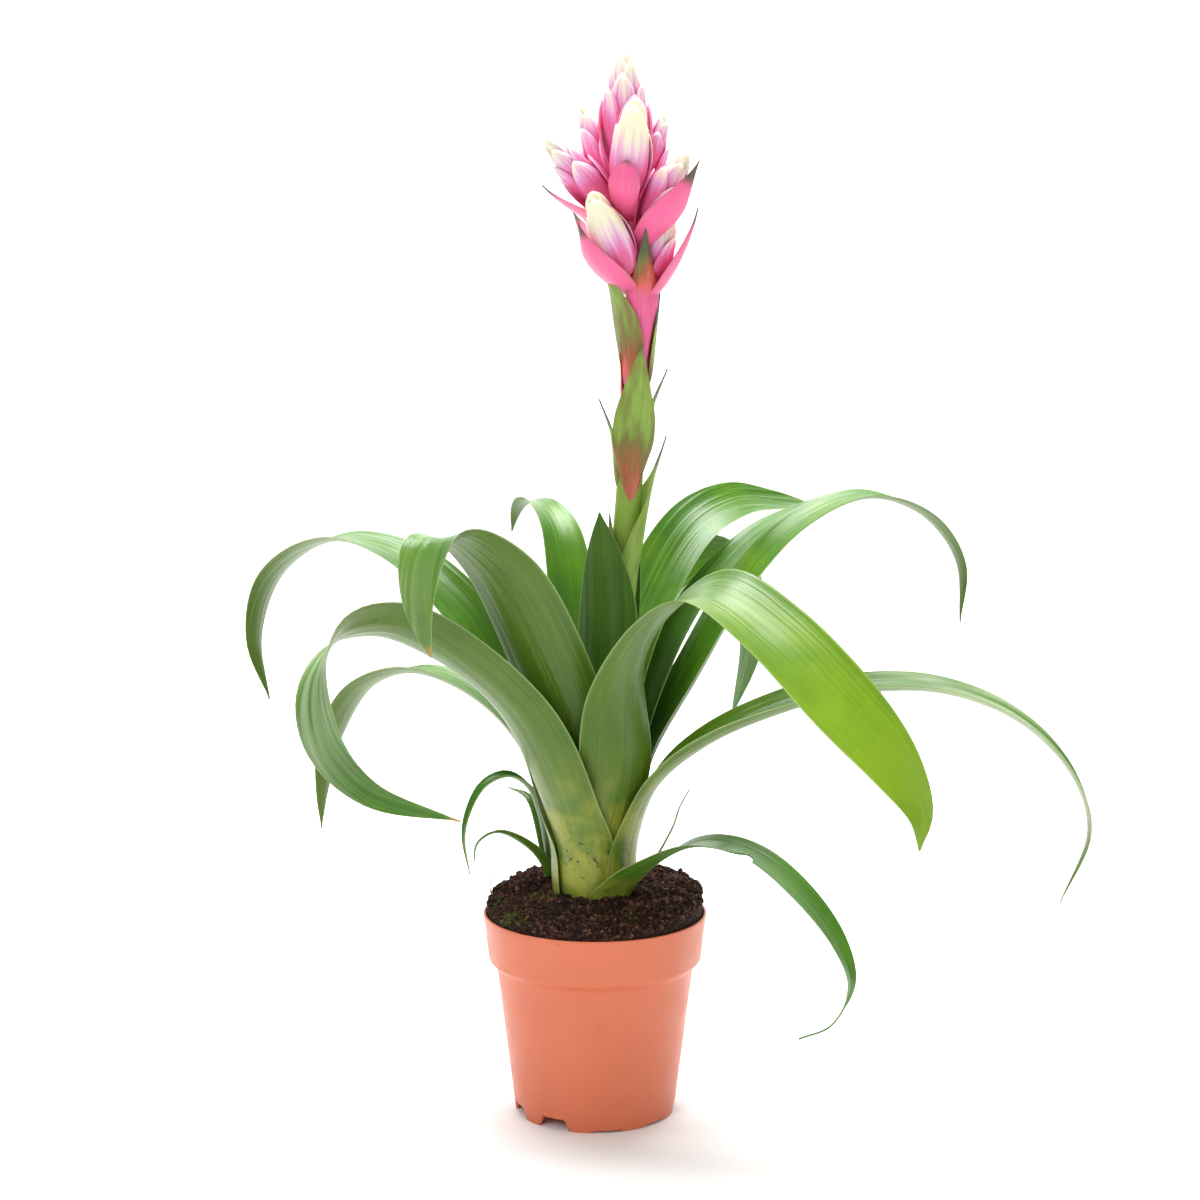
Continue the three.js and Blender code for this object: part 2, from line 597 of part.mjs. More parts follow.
// The cones of the flower head: foot and tip in millimetres, radius, number of floral bracts, where their
// spiral starts, and the length and flare of the pink bract below each as shares of the cone's own size.
const CONES = [
  {
    name: "cone_front", foot: [16, -7, 489], tip: [21, -21, 541], radius: 12, bracts: 9, spin: 60,
    bract: 0.46, flare: 0, spread: 1.45, turn: -28, peak: 0.8,
  },
  {
    name: "cone_lower_left", foot: [17, -7, 450], tip: [-2, -24, 494], radius: 12, bracts: 8, spin: 70,
    bract: 0.82, flare: 0.1,
  },
  {
    name: "cone_right", foot: [22, -5, 473], tip: [48, -15, 514], radius: 11.5, bracts: 8, spin: 30,
    bract: 0.92, flare: -0.1, turn: -40,
  },
  {
    name: "cone_left", foot: [12.5, -2.5, 480], tip: [-26, -10, 521], radius: 11, bracts: 8, spin: 10,
    bract: 0.7, flare: 0.42,
  },
  { name: "cone_top", foot: [15.7, 0, 496], tip: [15, 0, 566], radius: 14.5, bracts: 10, spin: 20 },
  {
    name: "cone_lower_right", foot: [26, 0, 444], tip: [40, -2, 484], radius: 9.5, bracts: 7, spin: 50,
    bract: 1.12, flare: 0.1,
  },
  { name: "cone_upper_left", foot: [12, 2, 485], tip: [-7, 11, 537], radius: 10, bracts: 7, spin: 40 },
  { name: "cone_upper_right", foot: [20, 2.5, 485], tip: [36, 10, 533], radius: 10, bracts: 7, spin: 80 },
  {
    name: "cone_back", foot: [16.5, 4.5, 479], tip: [14, 26, 523], radius: 11.5, bracts: 7, spin: 15,
    bract: 0.7, flare: 0.3,
  },
  {
    name: "cone_back_left", foot: [16, 3.5, 459], tip: [-7, 26, 500], radius: 11, bracts: 6, spin: 25,
    bract: 0.8, flare: 0.3,
  },
  {
    name: "cone_back_right", foot: [22, 4, 456], tip: [38, 26, 494], radius: 11, bracts: 6, spin: 55,
    bract: 0.8, flare: 0.3,
  },
];

// The leaves of the small shoot beside the rosette.
const OFFSET_LEAVES = [
  {
    azimuth: 200, width: 12,
    route: [[-27, 21, 138], [-31, 18, 160], [-37, 14, 175], [-47, 9, 182], [-59, 4, 178], [-67, 0, 165],
      [-70, -2, 151], [-67, -4, 131]],
  },
  {
    azimuth: 225, width: 11,
    route: [[-27, 20, 128], [-36, 15, 141], [-53, 8, 151], [-63, 3, 146], [-65, 0, 136]],
  },
  { azimuth: 250, width: 9, route: [[-24, 20, 130], [-26, 20, 151]] },
  { azimuth: 120, width: 10, route: [[-27, 30, 136], [-36, 40, 162], [-48, 50, 166]] },
  { azimuth: 60, width: 8, route: [[-22, 26, 132], [-23, 30, 150]] },
];

// Green bracts on the flower stalk, and the pink ones below the cones, from the rosette up.
const STALK_BRACTS = [
  { azimuth: 205, height: 262, length: 64, width: 17, lean: 3 },
  { azimuth: 15, height: 286, length: 80, width: 36, lean: 11, clasp: 125, footShare: 1 },
  { azimuth: 275, height: 326, length: 90, width: 25, lean: 6.5 },
  { azimuth: 352, height: 348, length: 54, width: 14, lean: 8 },
  { azimuth: 185, height: 336, length: 50, width: 13, lean: 11 },
];
const HEAD_BRACTS = [
  { azimuth: 105, height: 384, length: 60, width: 21, lean: 5 },
  { azimuth: 205, height: 381, length: 38, width: 20, lean: 2, footShare: 0.4 },
  { azimuth: 210, height: 394, length: 54, width: 18, lean: 11 },
  { azimuth: 12, height: 388, length: 60, width: 17, lean: 6 },
  { azimuth: 294, height: 402, length: 74, width: 21, lean: 12 },
];

/** The collar the sheaths stand on, the stalk and its green bracts, in one piece. */
function stalkBody(grow = 0) {
  const corners = [[0, COLLAR_LOW], [TUBE_RADIUS, COLLAR_LOW], [TUBE_RADIUS, COLLAR_HIGH], [0, COLLAR_HIGH]];
  const collar = solid(turned(corners, 24));
  const top = HEAD_FOOT - GAP + grow;
  const rings = [[COLLAR_HIGH - 2, 7], [130, 7], [220, 7.4], [300, 7.8], [335, 7], [top, 6]];
  const stem = solid(stemGeometry(rings.map(([height, radius]) => [height, radius + grow]), 10));
  return STALK_BRACTS.reduce((body, bract) => body.add(scapeBract(bract, grow)), collar.add(stem));
}

/** The upper stalk inside the flower head, with the bracts below its cones. */
function headStem(grow = 0) {
  const rings = [[HEAD_FOOT, 6], [440, 6], [480, 5.4], [500 + grow, 4.4]];
  const stem = solid(stemGeometry(rings.map(([height, radius]) => [height, radius + grow]), 10));
  return HEAD_BRACTS.reduce((body, bract) => body.add(scapeBract(bract, grow)), stem);
}

/** The small shoot beside the rosette: its leaves rise from one foot and are fused. */
function offsetShootGeometry() {
  const [x, y] = OFFSET_PLACE;
  const foot = new THREE.CylinderGeometry(3.4, 4, 18, 10).rotateX(Math.PI / 2);
  foot.translate(x, y, COLLAR_LOW + 9);
  return geometryOf(OFFSET_LEAVES.reduce((body, { azimuth, width, route }) => {
    const start = new THREE.Vector3(x, y, COLLAR_LOW + 10).addScaledVector(heading(radians(azimuth)), 1.4);
    const points = [start, ...route.map((point) => new THREE.Vector3(...point))];
    const { frames } = framesAlong(points, route.length > 3 ? 9 : 5, heading(radians(azimuth + 90)));
    const grid = frames.map(({ at, point, along, across }) => {
      const breadth = width * Math.max(Math.sin(Math.PI * (0.28 + 0.72 * at)), 0.07);
      return arcAcross(point, across, along.clone().cross(across), breadth, radians(lerp(60, 26, at)), 2);
    });
    return body.add(solid(thicken(grid, () => BRACT_THICKNESS)));
  }, solid(foot)));
}

const plant = new THREE.Group();
plant.name = "potted_guzmania";
plant.add(part("pot", potGeometry(), TERRACOTTA));
plant.add(part("soil", soilGeometry(), PEAT));
for (const leaf of LEAVES) {
  const color = leaf.name.startsWith("leaf_young") ? YOUNG_GREEN : LEAF_GREEN;
  plant.add(part(leaf.name, thicken(leafGrid(leaf), () => LEAF_THICKNESS), color));
}
plant.add(part("offset_shoot", offsetShootGeometry(), LEAF_GREEN));
plant.add(part("flower_stalk", geometryOf(stalkBody()), STALK_GREEN));
const stemRoom = headStem(GAP);
let coneRoom = wasm.Manifold.union([]);
for (const cone of CONES) {
  const shape = coneBody(cone).subtract(stemRoom).subtract(coneRoom);
  plant.add(part(cone.name, geometryOf(shape), CREAM_PINK));
  coneRoom = coneRoom.add(coneRoomOf(cone));
}
const bracts = CONES.filter((cone) => cone.bract).map((cone) => primaryBract(cone).subtract(coneRoom));
const pink = bracts.reduce((body, bract) => body.add(bract), headStem());
plant.add(part("pink_bracts", geometryOf(pink), BRACT_PINK));

export default plant;
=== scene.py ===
"""A guzmania with a pink and cream flower head in a 12 cm nursery pot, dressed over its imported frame.

Blender's units are metres and the frame's are metres too. Sizes in the tables below are millimetres, as a
grower would give them, and MM turns them to metres. +Z is up and -Y is towards the viewer.
"""

import math

import bmesh
import bpy
import numpy as np
from bpy.props import FloatProperty, FloatVectorProperty, IntProperty, PointerProperty
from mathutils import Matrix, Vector, noise


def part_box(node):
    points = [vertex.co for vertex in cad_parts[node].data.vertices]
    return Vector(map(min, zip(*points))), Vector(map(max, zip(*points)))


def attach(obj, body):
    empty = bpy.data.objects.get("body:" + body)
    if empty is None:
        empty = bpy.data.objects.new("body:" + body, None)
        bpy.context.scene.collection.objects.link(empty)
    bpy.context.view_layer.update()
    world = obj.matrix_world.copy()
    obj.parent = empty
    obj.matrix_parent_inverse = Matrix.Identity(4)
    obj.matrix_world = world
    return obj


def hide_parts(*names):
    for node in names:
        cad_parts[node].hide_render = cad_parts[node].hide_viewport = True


bl_info = {
    "name": "Potted guzmania",
    "version": (1, 0, 0),
    "blender": (4, 5, 0),
    "location": "3D View > Sidebar > Guzmania",
    "description": "Builds a potted bromeliad with strap leaves and a tall flower head",
    "category": "Object",
}

MM = 0.001
BODY = "root"
GOLDEN_ANGLE = math.radians(137.508)
SHARP_ANGLE = math.radians(48)
ROUTE_STEPS = 40

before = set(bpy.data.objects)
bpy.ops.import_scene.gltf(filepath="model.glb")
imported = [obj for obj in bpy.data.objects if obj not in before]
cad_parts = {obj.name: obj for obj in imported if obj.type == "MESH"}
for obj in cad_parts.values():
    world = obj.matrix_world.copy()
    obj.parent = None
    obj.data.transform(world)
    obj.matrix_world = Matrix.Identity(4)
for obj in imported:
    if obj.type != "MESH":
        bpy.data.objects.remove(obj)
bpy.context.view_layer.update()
POT_LOW, POT_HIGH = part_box("pot")


# Small tools for numbers

def ease(low, high, x):
    """0 before low, 1 after high, smooth between."""
    t = np.clip((np.asarray(x, float) - low) / (high - low), 0, 1)
    return t * t * (3 - 2 * t)


def eased_stops(at, stops, reach=0.05):
    """Values between [place, value] stops, with the corners rounded over the reach."""
    return np.mean([np.interp(at + shift, *zip(*stops)) for shift in np.linspace(-reach, reach, 9)], axis=0)


def mix(a, b, t):
    return a + (b - a) * t


def unit(v):
    v = np.asarray(v, float)
    return v / np.maximum(np.linalg.norm(v, axis=-1, keepdims=True), 1e-12)


def heading(azimuth):
    """A direction in the ground plane, from degrees."""
    a = math.radians(azimuth)
    return np.array([math.cos(a), math.sin(a), 0.0])


def around(radius, azimuth, height):
    """A point at a radius, an azimuth in degrees and a height."""
    return (*(heading(azimuth)[:2] * radius), height)


def turns(count):
    """Even angles round a circle."""
    return np.linspace(0, 2 * math.pi, count, endpoint=False)


def strip_places(stations, strips):
    """Places across a blade from -1 to 1, once for each station."""
    return np.tile(np.linspace(-1, 1, strips + 1), (stations, 1))


def thinned(thickness, strips):
    """A blade's thickness at each place across it, half as much at its edges as at its midrib."""
    edge = np.abs(np.linspace(-1, 1, strips + 1))
    return (thickness * (1 - 0.5 * edge**3))[None, :]


def smooth_route(points, count):
    """Points evenly spaced along a centripetal Catmull-Rom curve, and the curve's length."""
    ends = [np.asarray(p, float) for p in points]
    knots = [2 * ends[0] - ends[1], *ends, 2 * ends[-1] - ends[-2]]
    fine = []
    for a, b, c, d in zip(knots, knots[1:], knots[2:], knots[3:]):
        ab, bc, cd = (np.dot(q - p, q - p) ** 0.25 for p, q in ((a, b), (b, c), (c, d)))
        leave = ((b - a) / ab - (c - a) / (ab + bc) + (c - b) / bc) * bc
        arrive = ((c - b) / bc - (d - b) / (bc + cd) + (d - c) / cd) * bc
        t = np.linspace(0, 1, ROUTE_STEPS, endpoint=False)[:, None]
        fine.append(b + leave * t + (3 * (c - b) - 2 * leave - arrive) * t**2
                    + (2 * (b - c) + leave + arrive) * t**3)
    path = np.vstack([*fine, ends[-1]])
    run = np.concatenate([[0], np.cumsum(np.linalg.norm(np.diff(path, axis=0), axis=1))])
    stops = np.linspace(0, run[-1], count)
    return np.stack([np.interp(stops, run, path[:, k]) for k in range(3)], 1), run[-1]


def frames_along(points, count, start_across):
    """Even points on a route with their along and across directions, which don't spin."""
    path, length = smooth_route(points, count)
    along = unit(np.gradient(path, axis=0))
    across = np.empty_like(path)
    side = np.asarray(start_across, float)
    for i, forward in enumerate(along):
        side = unit(side - forward * np.dot(side, forward))
        across[i] = side
    return path, along, across, length


def rolled(across, along, degrees):
    """The across directions turned about their along directions."""
    turn = np.radians(degrees)[:, None]
    return across * np.cos(turn) + np.cross(along, across) * np.sin(turn)


def arcs(middle, along, side, width, cup, places):
    """Rows of points on arcs through a route's points, at places from -1 to 1. They curl towards the blade's
    upper face."""
    face = np.cross(along, side)
    turn = places * cup[:, None]
    bend = (width / 2 / cup)[:, None]
    return (middle[:, None, :] + side[:, None, :] * (bend * np.sin(turn))[..., None]
            + face[:, None, :] * (bend * (1 - np.cos(turn)))[..., None])


# Small tools for meshes

def put(name, data):
    """Puts a mesh, light or camera in the scene."""
    made = bpy.data.objects.new(name, data)
    bpy.context.scene.collection.objects.link(made)
    return made


def applied_mesh(piece, name):
    """A piece's mesh with its modifiers applied, under a name of its own."""
    depsgraph = bpy.context.evaluated_depsgraph_get()
    mesh = bpy.data.meshes.new_from_object(piece.evaluated_get(depsgraph), depsgraph=depsgraph)
    mesh.name = name
    return mesh


def new_piece(name, mesh, slot, *nodes):
    """Adds a finished mesh as a piece that rides the plant and stands for the CAD nodes named."""
    piece = put(name, mesh)
    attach(piece, BODY)
    if nodes:
        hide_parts(*nodes)
    return piece


class Surface:
    """Gathers vertices in millimetres, faces and per-vertex values, and becomes one mesh in metres."""

    def __init__(self):
        self.points, self.faces = [], []
        self.values = {}
        self.uv = []

    def add(self, points, faces, values, uv=None):
        first = len(self.points)
        self.points.extend(np.asarray(points, float).tolist())
        self.faces.extend([tuple(first + v for v in face) for face in faces])
        for key, column in values.items():
            column = np.broadcast_to(np.asarray(column, float), (len(points),))
            self.values.setdefault(key, []).extend(column.tolist())
        self.uv.extend((np.zeros((len(points), 2)) if uv is None else np.asarray(uv)).tolist())

    def mesh(self, name, material, recalculate=False):
        mesh = bpy.data.meshes.new(name)
        mesh.from_pydata((np.array(self.points) * MM).tolist(), [], self.faces)
        for key, column in self.values.items():
            mesh.attributes.new(key, "FLOAT", "POINT").data.foreach_set("value", column)
        layer = mesh.uv_layers.new(name="surface_mm")
        corner_vertex = np.empty(len(mesh.loops), np.int32)
        mesh.loops.foreach_get("vertex_index", corner_vertex)
        layer.data.foreach_set("uv", np.array(self.uv)[corner_vertex].ravel())
        mesh.materials.append(material)
        mesh.shade_smooth()
        mesh.set_sharp_from_angle(angle=SHARP_ANGLE)
        if recalculate:
            face_outwards(mesh)
        mesh.update()
        return mesh


def face_outwards(mesh):
    work = bmesh.new()
    work.from_mesh(mesh)
    bmesh.ops.recalc_face_normals(work, faces=work.faces)
    work.to_mesh(mesh)
    work.free()


def add_blade(surface, grid, thickness, length, width, shift=0.0, **values):
    """Adds a closed thin blade about a grid of points. The upper face is on the side of along x across."""
    rows, columns = grid.shape[:2]
    along = np.gradient(grid, axis=0)
    across = np.gradient(grid, axis=1)
    normal = unit(np.cross(along, across))
    half = np.broadcast_to(thickness, (rows, columns))[..., None] / 2
    points = np.concatenate([(grid + normal * half).reshape(-1, 3), (grid - normal * half).reshape(-1, 3)])
    under = rows * columns
    faces = []
    for i in range(rows - 1):
        for j in range(columns - 1):
            a, b = i * columns + j, (i + 1) * columns + j
            faces += [(a, b, b + 1, a + 1), (under + a, under + a + 1, under + b + 1, under + b)]
        a, b = i * columns, (i + 1) * columns
        faces.append((a, under + a, under + b, b))
        a, b = a + columns - 1, b + columns - 1
        faces.append((a, b, under + b, under + a))
    for j in range(columns - 1):
        faces.append((j, j + 1, under + j + 1, under + j))
        a = (rows - 1) * columns + j
        faces.append((a, under + a, under + a + 1, a + 1))
    share = np.repeat(np.linspace(0, 1, rows), columns)
    edge = np.tile(np.linspace(-1, 1, columns), rows)
    u = (edge.reshape(rows, columns) * np.reshape(width, (rows, 1)) / 2).ravel()
    uv = np.stack([u + shift, share * length], 1)
    each = {"share": np.tile(share, 2), "edge": np.tile(np.abs(edge), 2),
            "upper": np.repeat((1.0, 0.0), under)}
    for key, column in values.items():
        column = np.asarray(column, float)
        each[key] = np.full(2 * under, column) if column.ndim == 0 else np.tile(np.repeat(column, columns), 2)
    surface.add(points, faces, each, np.concatenate([uv, uv]))


def add_rings(surface, rings, values):
    """Adds a tube through rings of points, with a point in the middle of each end."""
    count, sides = rings.shape[:2]
    points = rings.reshape(-1, 3)
    faces = []
    for i in range(count - 1):
        for k in range(sides):
            n = (k + 1) % sides
            faces.append((i * sides + k, i * sides + n, (i + 1) * sides + n, (i + 1) * sides + k))
    points = np.vstack([points, rings[0].mean(0), rings[-1].mean(0)])
    low, high, last = count * sides, count * sides + 1, (count - 1) * sides
    for k in range(sides):
        n = (k + 1) % sides
        faces += [(low, n, k), (high, last + k, last + n)]
    surface.add(points, faces, values)


# Small tools for node trees

SMOOTH = {"interpolation_type": "SMOOTHSTEP"}
ADD, MULTIPLY, MULTIPLY_ADD = ({"operation": name} for name in ("ADD", "MULTIPLY", "MULTIPLY_ADD"))
NUMBERS, VECTORS = {"data_type": "FLOAT"}, {"data_type": "FLOAT_VECTOR"}


def linear(hex_colour):
    """An sRGB hex value as a linear RGBA colour."""
    channels = [int(hex_colour[i:i + 2], 16) / 255 for i in (0, 2, 4)]
    return [c / 12.92 if c <= 0.04045 else ((c + 0.055) / 1.055) ** 2.4 for c in channels] + [1.0]


def shaded(colour, factor):
    """A linear colour made darker or lighter."""
    return [min(1.0, channel * factor) for channel in list(colour)[:3]] + [1.0]


def node(tree, kind, settings=None, links=None, stops=(), out=0):
    """Adds a node with its settings, inputs (each a value or another node's output) and ramp stops, and
    gives the output asked for, or the node itself where that is None."""
    made = tree.nodes.new(kind)
    for key, value in (settings or {}).items():
        setattr(made, key, value)
    for key, value in (links or {}).items():
        if isinstance(value, bpy.types.NodeSocket):
            tree.links.new(value, made.inputs[key])
        else:
            made.inputs[key].default_value = value
    for number, (place, colour) in enumerate(stops):
        ramp = made.color_ramp.elements
        stop = ramp[number] if number < len(ramp) else ramp.new(place)
        stop.position, stop.color = place, colour
    return made if out is None else made.outputs[out]


def new_material(name, **constants):
    """A material with one principled shader, whose plain inputs are set here."""
    material = bpy.data.materials.new(name)
    material.use_nodes = True
    tree = material.node_tree
    tree.nodes.clear()
    links = {key.replace("_", " "): value for key, value in constants.items()}
    shader = node(tree, "ShaderNodeBsdfPrincipled", links=links, out=None)
    node(tree, "ShaderNodeOutputMaterial", links={0: shader.outputs[0]}, out=None)
    return material, tree, shader


def band(tree, name, low, high, strength=1.0):
    """A per-vertex value of the mesh, read by name, as 0 at low and the strength at high."""
    value = node(tree, "ShaderNodeAttribute", {"attribute_name": name}, out="Fac")
    return node(tree, "ShaderNodeMapRange", SMOOTH, {0: value, 1: low, 2: high, 4: strength})


def streaks(tree, across_mm, along_mm, low=0.3, high=0.7, strength=1.0):
    """Noise drawn out along a blade by its surface map, as 0 at low and the strength at high."""
    uv = node(tree, "ShaderNodeUVMap", {"uv_map": "surface_mm"})
    drawn = node(tree, "ShaderNodeMapping", links={0: uv, 3: (1 / across_mm, 1 / along_mm, 1)})
    value = node(tree, "ShaderNodeTexNoise", links={0: drawn, "Scale": 1.0, "Detail": 2.0})
    return node(tree, "ShaderNodeMapRange", SMOOTH, {0: value, 1: low, 2: high, 4: strength})


def spots(tree, size_mm, low=0.3, high=0.7, strength=1.0, detail=3.0):
    """Noise in lumps of about the size given, as 0 at low and the strength at high."""
    place = node(tree, "ShaderNodeTexCoord", out="Object")
    value = node(tree, "ShaderNodeTexNoise",
                 links={0: place, "Scale": 1 / (size_mm * MM), "Detail": detail})
    return node(tree, "ShaderNodeMapRange", SMOOTH, {0: value, 1: low, 2: high, 4: strength})


def new_tree(name, output, **inputs):
    """A geometry tree with the inputs named and one geometry output, and the inputs' sockets inside it."""
    tree = bpy.data.node_groups.new(name, "GeometryNodeTree")
    for key, kind in inputs.items():
        tree.interface.new_socket(key.replace("_", " "), in_out="INPUT", socket_type="NodeSocket" + kind)
    tree.interface.new_socket(output, in_out="OUTPUT", socket_type="NodeSocketGeometry")
    return tree, node(tree, "NodeGroupInput", out=None).outputs[:len(inputs)]


def run_tree(tree, mesh, name, **inputs):
    """Puts a mesh through a node tree and gives the result as a plain mesh."""
    holder = put(name, mesh)
    modifier = holder.modifiers.new(tree.name, "NODES")
    modifier.node_group = tree
    sockets = {item.name: item.identifier for item in tree.interface.items_tree if item.in_out == "INPUT"}
    for key, value in inputs.items():
        modifier[sockets[key.replace("_", " ")]] = value
    result = applied_mesh(holder, name)
    bpy.data.objects.remove(holder)
    return result


def painted(tree, base, *coats):
    """A colour under coats of other colours, each as thick as its factor says."""
    for factor, colour in coats:
        base = node(tree, "ShaderNodeMix", {"data_type": "RGBA"}, {0: factor, 6: base, 7: colour}, out=2)
    return base


def finish_shader(tree, shader, colour, rough=None, heights=()):
    """Gives a shader its colour, roughness and a surface raised by [pattern, millimetres, strength] each."""
    normal = None
    for height, millimetres, strength in heights:
        links = {"Strength": strength, "Distance": millimetres * MM, "Height": height}
        if normal:
            links["Normal"] = normal
        normal = node(tree, "ShaderNodeBump", links=links)
    for key, value in (("Base Color", colour), ("Roughness", rough), ("Normal", normal)):
        if value:
            tree.links.new(value, shader.inputs[key])


# Materials

def waxy_leaf_material(settings):
    """Living strap leaf with a waxy cuticle: deep to lime green above with a clear shine, grey-green and
    duller below, with faint parallel veins, a thin pale margin, a yellowish sheath with dark specks and a
    dry tip. How light the green is comes partly from the leaf's own colour and partly from painted shade,
    which makes the green darker at the roots of leaves deep in the rosette. A whitish coat in places is a
    painted sheen where the leaf reflects the soft light."""
    material, tree, shader = new_material(
        "waxy_strap_leaf", IOR=1.45, Specular_IOR_Level=0.42, Subsurface_Weight=0.04,
        Subsurface_Scale=0.001, Coat_Weight=0.14, Coat_Roughness=0.2)
    # How light the green is: partly the leaf's own colour and partly painted shade, whose low values darken
    # the green deep in the rosette.
    tone = node(tree, "ShaderNodeAttribute", {"attribute_name": "tone"}, out="Fac")
    pleats = streaks(tree, 6.0, 170.0)
    cloudy = node(tree, "ShaderNodeMath", MULTIPLY_ADD,
                  {0: spots(tree, 26.0, 0.25, 0.75), 1: 0.22, 2: tone})
    depth = node(tree, "ShaderNodeMath", MULTIPLY_ADD, {0: pleats, 1: 0.1, 2: cloudy})
    above, below, lime = settings.leaf_colour, settings.underside_colour, settings.lime_colour
    upper = node(tree, "ShaderNodeValToRGB", links={0: depth},
                 stops=((0.08, shaded(above, 0.42)), (0.5, above), (0.98, lime)))
    under = node(tree, "ShaderNodeValToRGB", links={0: depth},
                 stops=((0.08, shaded(above, 0.62)), (0.5, below), (0.98, shaded(below, 1.45))))
    # The veins lie about 1.3 mm apart, which is coarser than on the plant, so that they don't flicker.
    veins = streaks(tree, 1.3, 120.0)
    specks = node(tree, "ShaderNodeMath", MULTIPLY,
                  {0: spots(tree, 3.2, 0.6, 0.66, 0.85), 1: band(tree, "specked", 0.0, 1.0)})
    specks = node(tree, "ShaderNodeMath", MULTIPLY, {0: specks, 1: spots(tree, 15.0, 0.44, 0.56)})
    # Painted sheen: a whitish coat, streaked along the blade, where the leaf reflects the soft light.
    bloom = node(tree, "ShaderNodeMath", MULTIPLY,
                 {0: band(tree, "bloom", 0.0, 1.0), 1: streaks(tree, 3.5, 90.0, 0.2, 0.75)})
    sheath = node(tree, "ShaderNodeValToRGB", links={0: spots(tree, 14.0)},
                  stops=((0.0, linear("5f7c2a")), (1.0, linear("a9aa3c"))))
    green = painted(
        tree, under,
        (band(tree, "upper", 0.0, 1.0), upper),
        (streaks(tree, 1.3, 120.0, 0.46, 0.66, 0.08), shaded(lime, 1.3)),
        (band(tree, "sheath", 0.0, 1.0, 0.85), sheath),
        # The painted sheen, a pale coat standing in for reflected soft light.
        (bloom, linear("d3dfbd")),
        (specks, linear("3a2a16")),
        (band(tree, "edge", 0.94, 1.0, 0.38), linear("b9cc8e")),
        (band(tree, "dry", 0.0, 1.0), linear("b2965a")))
    rough = node(tree, "ShaderNodeMapRange", links={0: band(tree, "upper", 0.0, 1.0), 3: 0.46, 4: 0.3})
    finish_shader(tree, shader, green, rough, ((pleats, 0.9, 0.6), (veins, 0.18, 0.45)))
    return material


def bract_material(settings):
    """Coloured bract tissue, satin with fine lengthwise lines: pale green where ripe is 0, green at 0.2,
    brick red halfway and pink at 1, with dusky olive tips and margins."""
    material, tree, shader = new_material(
        "satin_coloured_bract", Roughness=0.42, Subsurface_Weight=0.12, Subsurface_Scale=0.002)
    ripe = node(tree, "ShaderNodeAttribute", {"attribute_name": "ripe"}, out="Fac")
    pink, green = settings.pink_colour, settings.stalk_colour
    shifted = node(tree, "ShaderNodeMath", {**ADD, "use_clamp": True},
                   {0: streaks(tree, 5.0, 22.0, strength=0.2), 1: ripe})
    body = node(tree, "ShaderNodeValToRGB", links={0: shifted}, stops=(
        (0.02, shaded(green, 1.3)), (0.2, green), (0.36, linear("75702c")), (0.52, linear("a0582f")),
        (0.68, linear("e0645a")), (0.84, shaded(pink, 0.9)), (1.0, pink)))
    body = painted(
        tree, body,
        (streaks(tree, 1.1, 40.0, 0.48, 0.68, 0.07), linear("f3c3a8")),
        (band(tree, "edge", 0.85, 1.0, 0.3), shaded(green, 0.6)),
        (band(tree, "dusk", 0.0, 1.0, 0.92), linear("48502a")))
    finish_shader(tree, shader, body, heights=[(streaks(tree, 1.1, 40.0), 0.2, 0.35)])
    return material


def floral_bract_material(settings):
    """Fleshy floral bracts: hot pink at the foot, lilac pink on the flanks and cream at the tip, feathered
    into each other, and slightly translucent, so that the head glows."""
    material, tree, shader = new_material(
        "pink_and_cream_floral_bract", Roughness=0.45, Subsurface_Weight=0.36, Subsurface_Scale=0.004,
        Subsurface_Radius=(1.0, 0.5, 0.4))
    across, share, tint = (node(tree, "ShaderNodeAttribute", {"attribute_name": name}, out="Fac")
                           for name in ("across", "share", "tint"))
    # A bract is about 14 mm wide and 30 mm long, so these make wisps about 2 mm wide and 20 mm long.
    scaled = {k: node(tree, "ShaderNodeMath", MULTIPLY, {0: value, 1: scale})
              for k, (value, scale) in enumerate(((across, 3.4), (share, 1.1), (tint, 90.0)))}
    place = node(tree, "ShaderNodeCombineXYZ", links=scaled)
    wisps = node(tree, "ShaderNodeTexNoise", links={0: place, "Scale": 1.0, "Detail": 2.0})
    shifted = node(tree, "ShaderNodeMath", MULTIPLY_ADD, {0: wisps, 1: 0.7, 2: share})
    shifted = node(tree, "ShaderNodeMath", ADD, {0: shifted, 1: tint})
    pink = settings.pink_colour
    body = node(tree, "ShaderNodeValToRGB", links={0: shifted}, stops=(
        (0.3, shaded(pink, 0.9)), (0.5, pink), (0.66, settings.lilac_colour), (0.8, linear("fbcfd6")),
        (0.95, settings.cream_colour)))
    finish_shader(tree, shader, body, heights=[(wisps, 0.3, 0.3)])
    return material


def pot_plastic_material(settings):
    """Injection-moulded polypropylene in terracotta: satin, very slightly cloudy, with a few brown specks of
    peat dust and faint scuffs."""
    material, tree, shader = new_material(
        "moulded_polypropylene_terracotta", IOR=1.49, Subsurface_Weight=0.04, Subsurface_Scale=0.002)
    plain = settings.plastic_colour
    body = painted(
        tree, plain,
        (spots(tree, 40.0, strength=0.5, detail=2.0), shaded(plain, 0.9)),
        (spots(tree, 2.6, 0.715, 0.75, 0.6), linear("7a4028")),
        (spots(tree, 9.0, 0.62, 0.8, 0.25), shaded(plain, 1.12)))
    rough = node(tree, "ShaderNodeMapRange", links={0: spots(tree, 12.0), 3: 0.36, 4: 0.46})
    finish_shader(tree, shader, body, rough, [(spots(tree, 1.2, detail=2.0), 0.15, 0.08)])
    return material


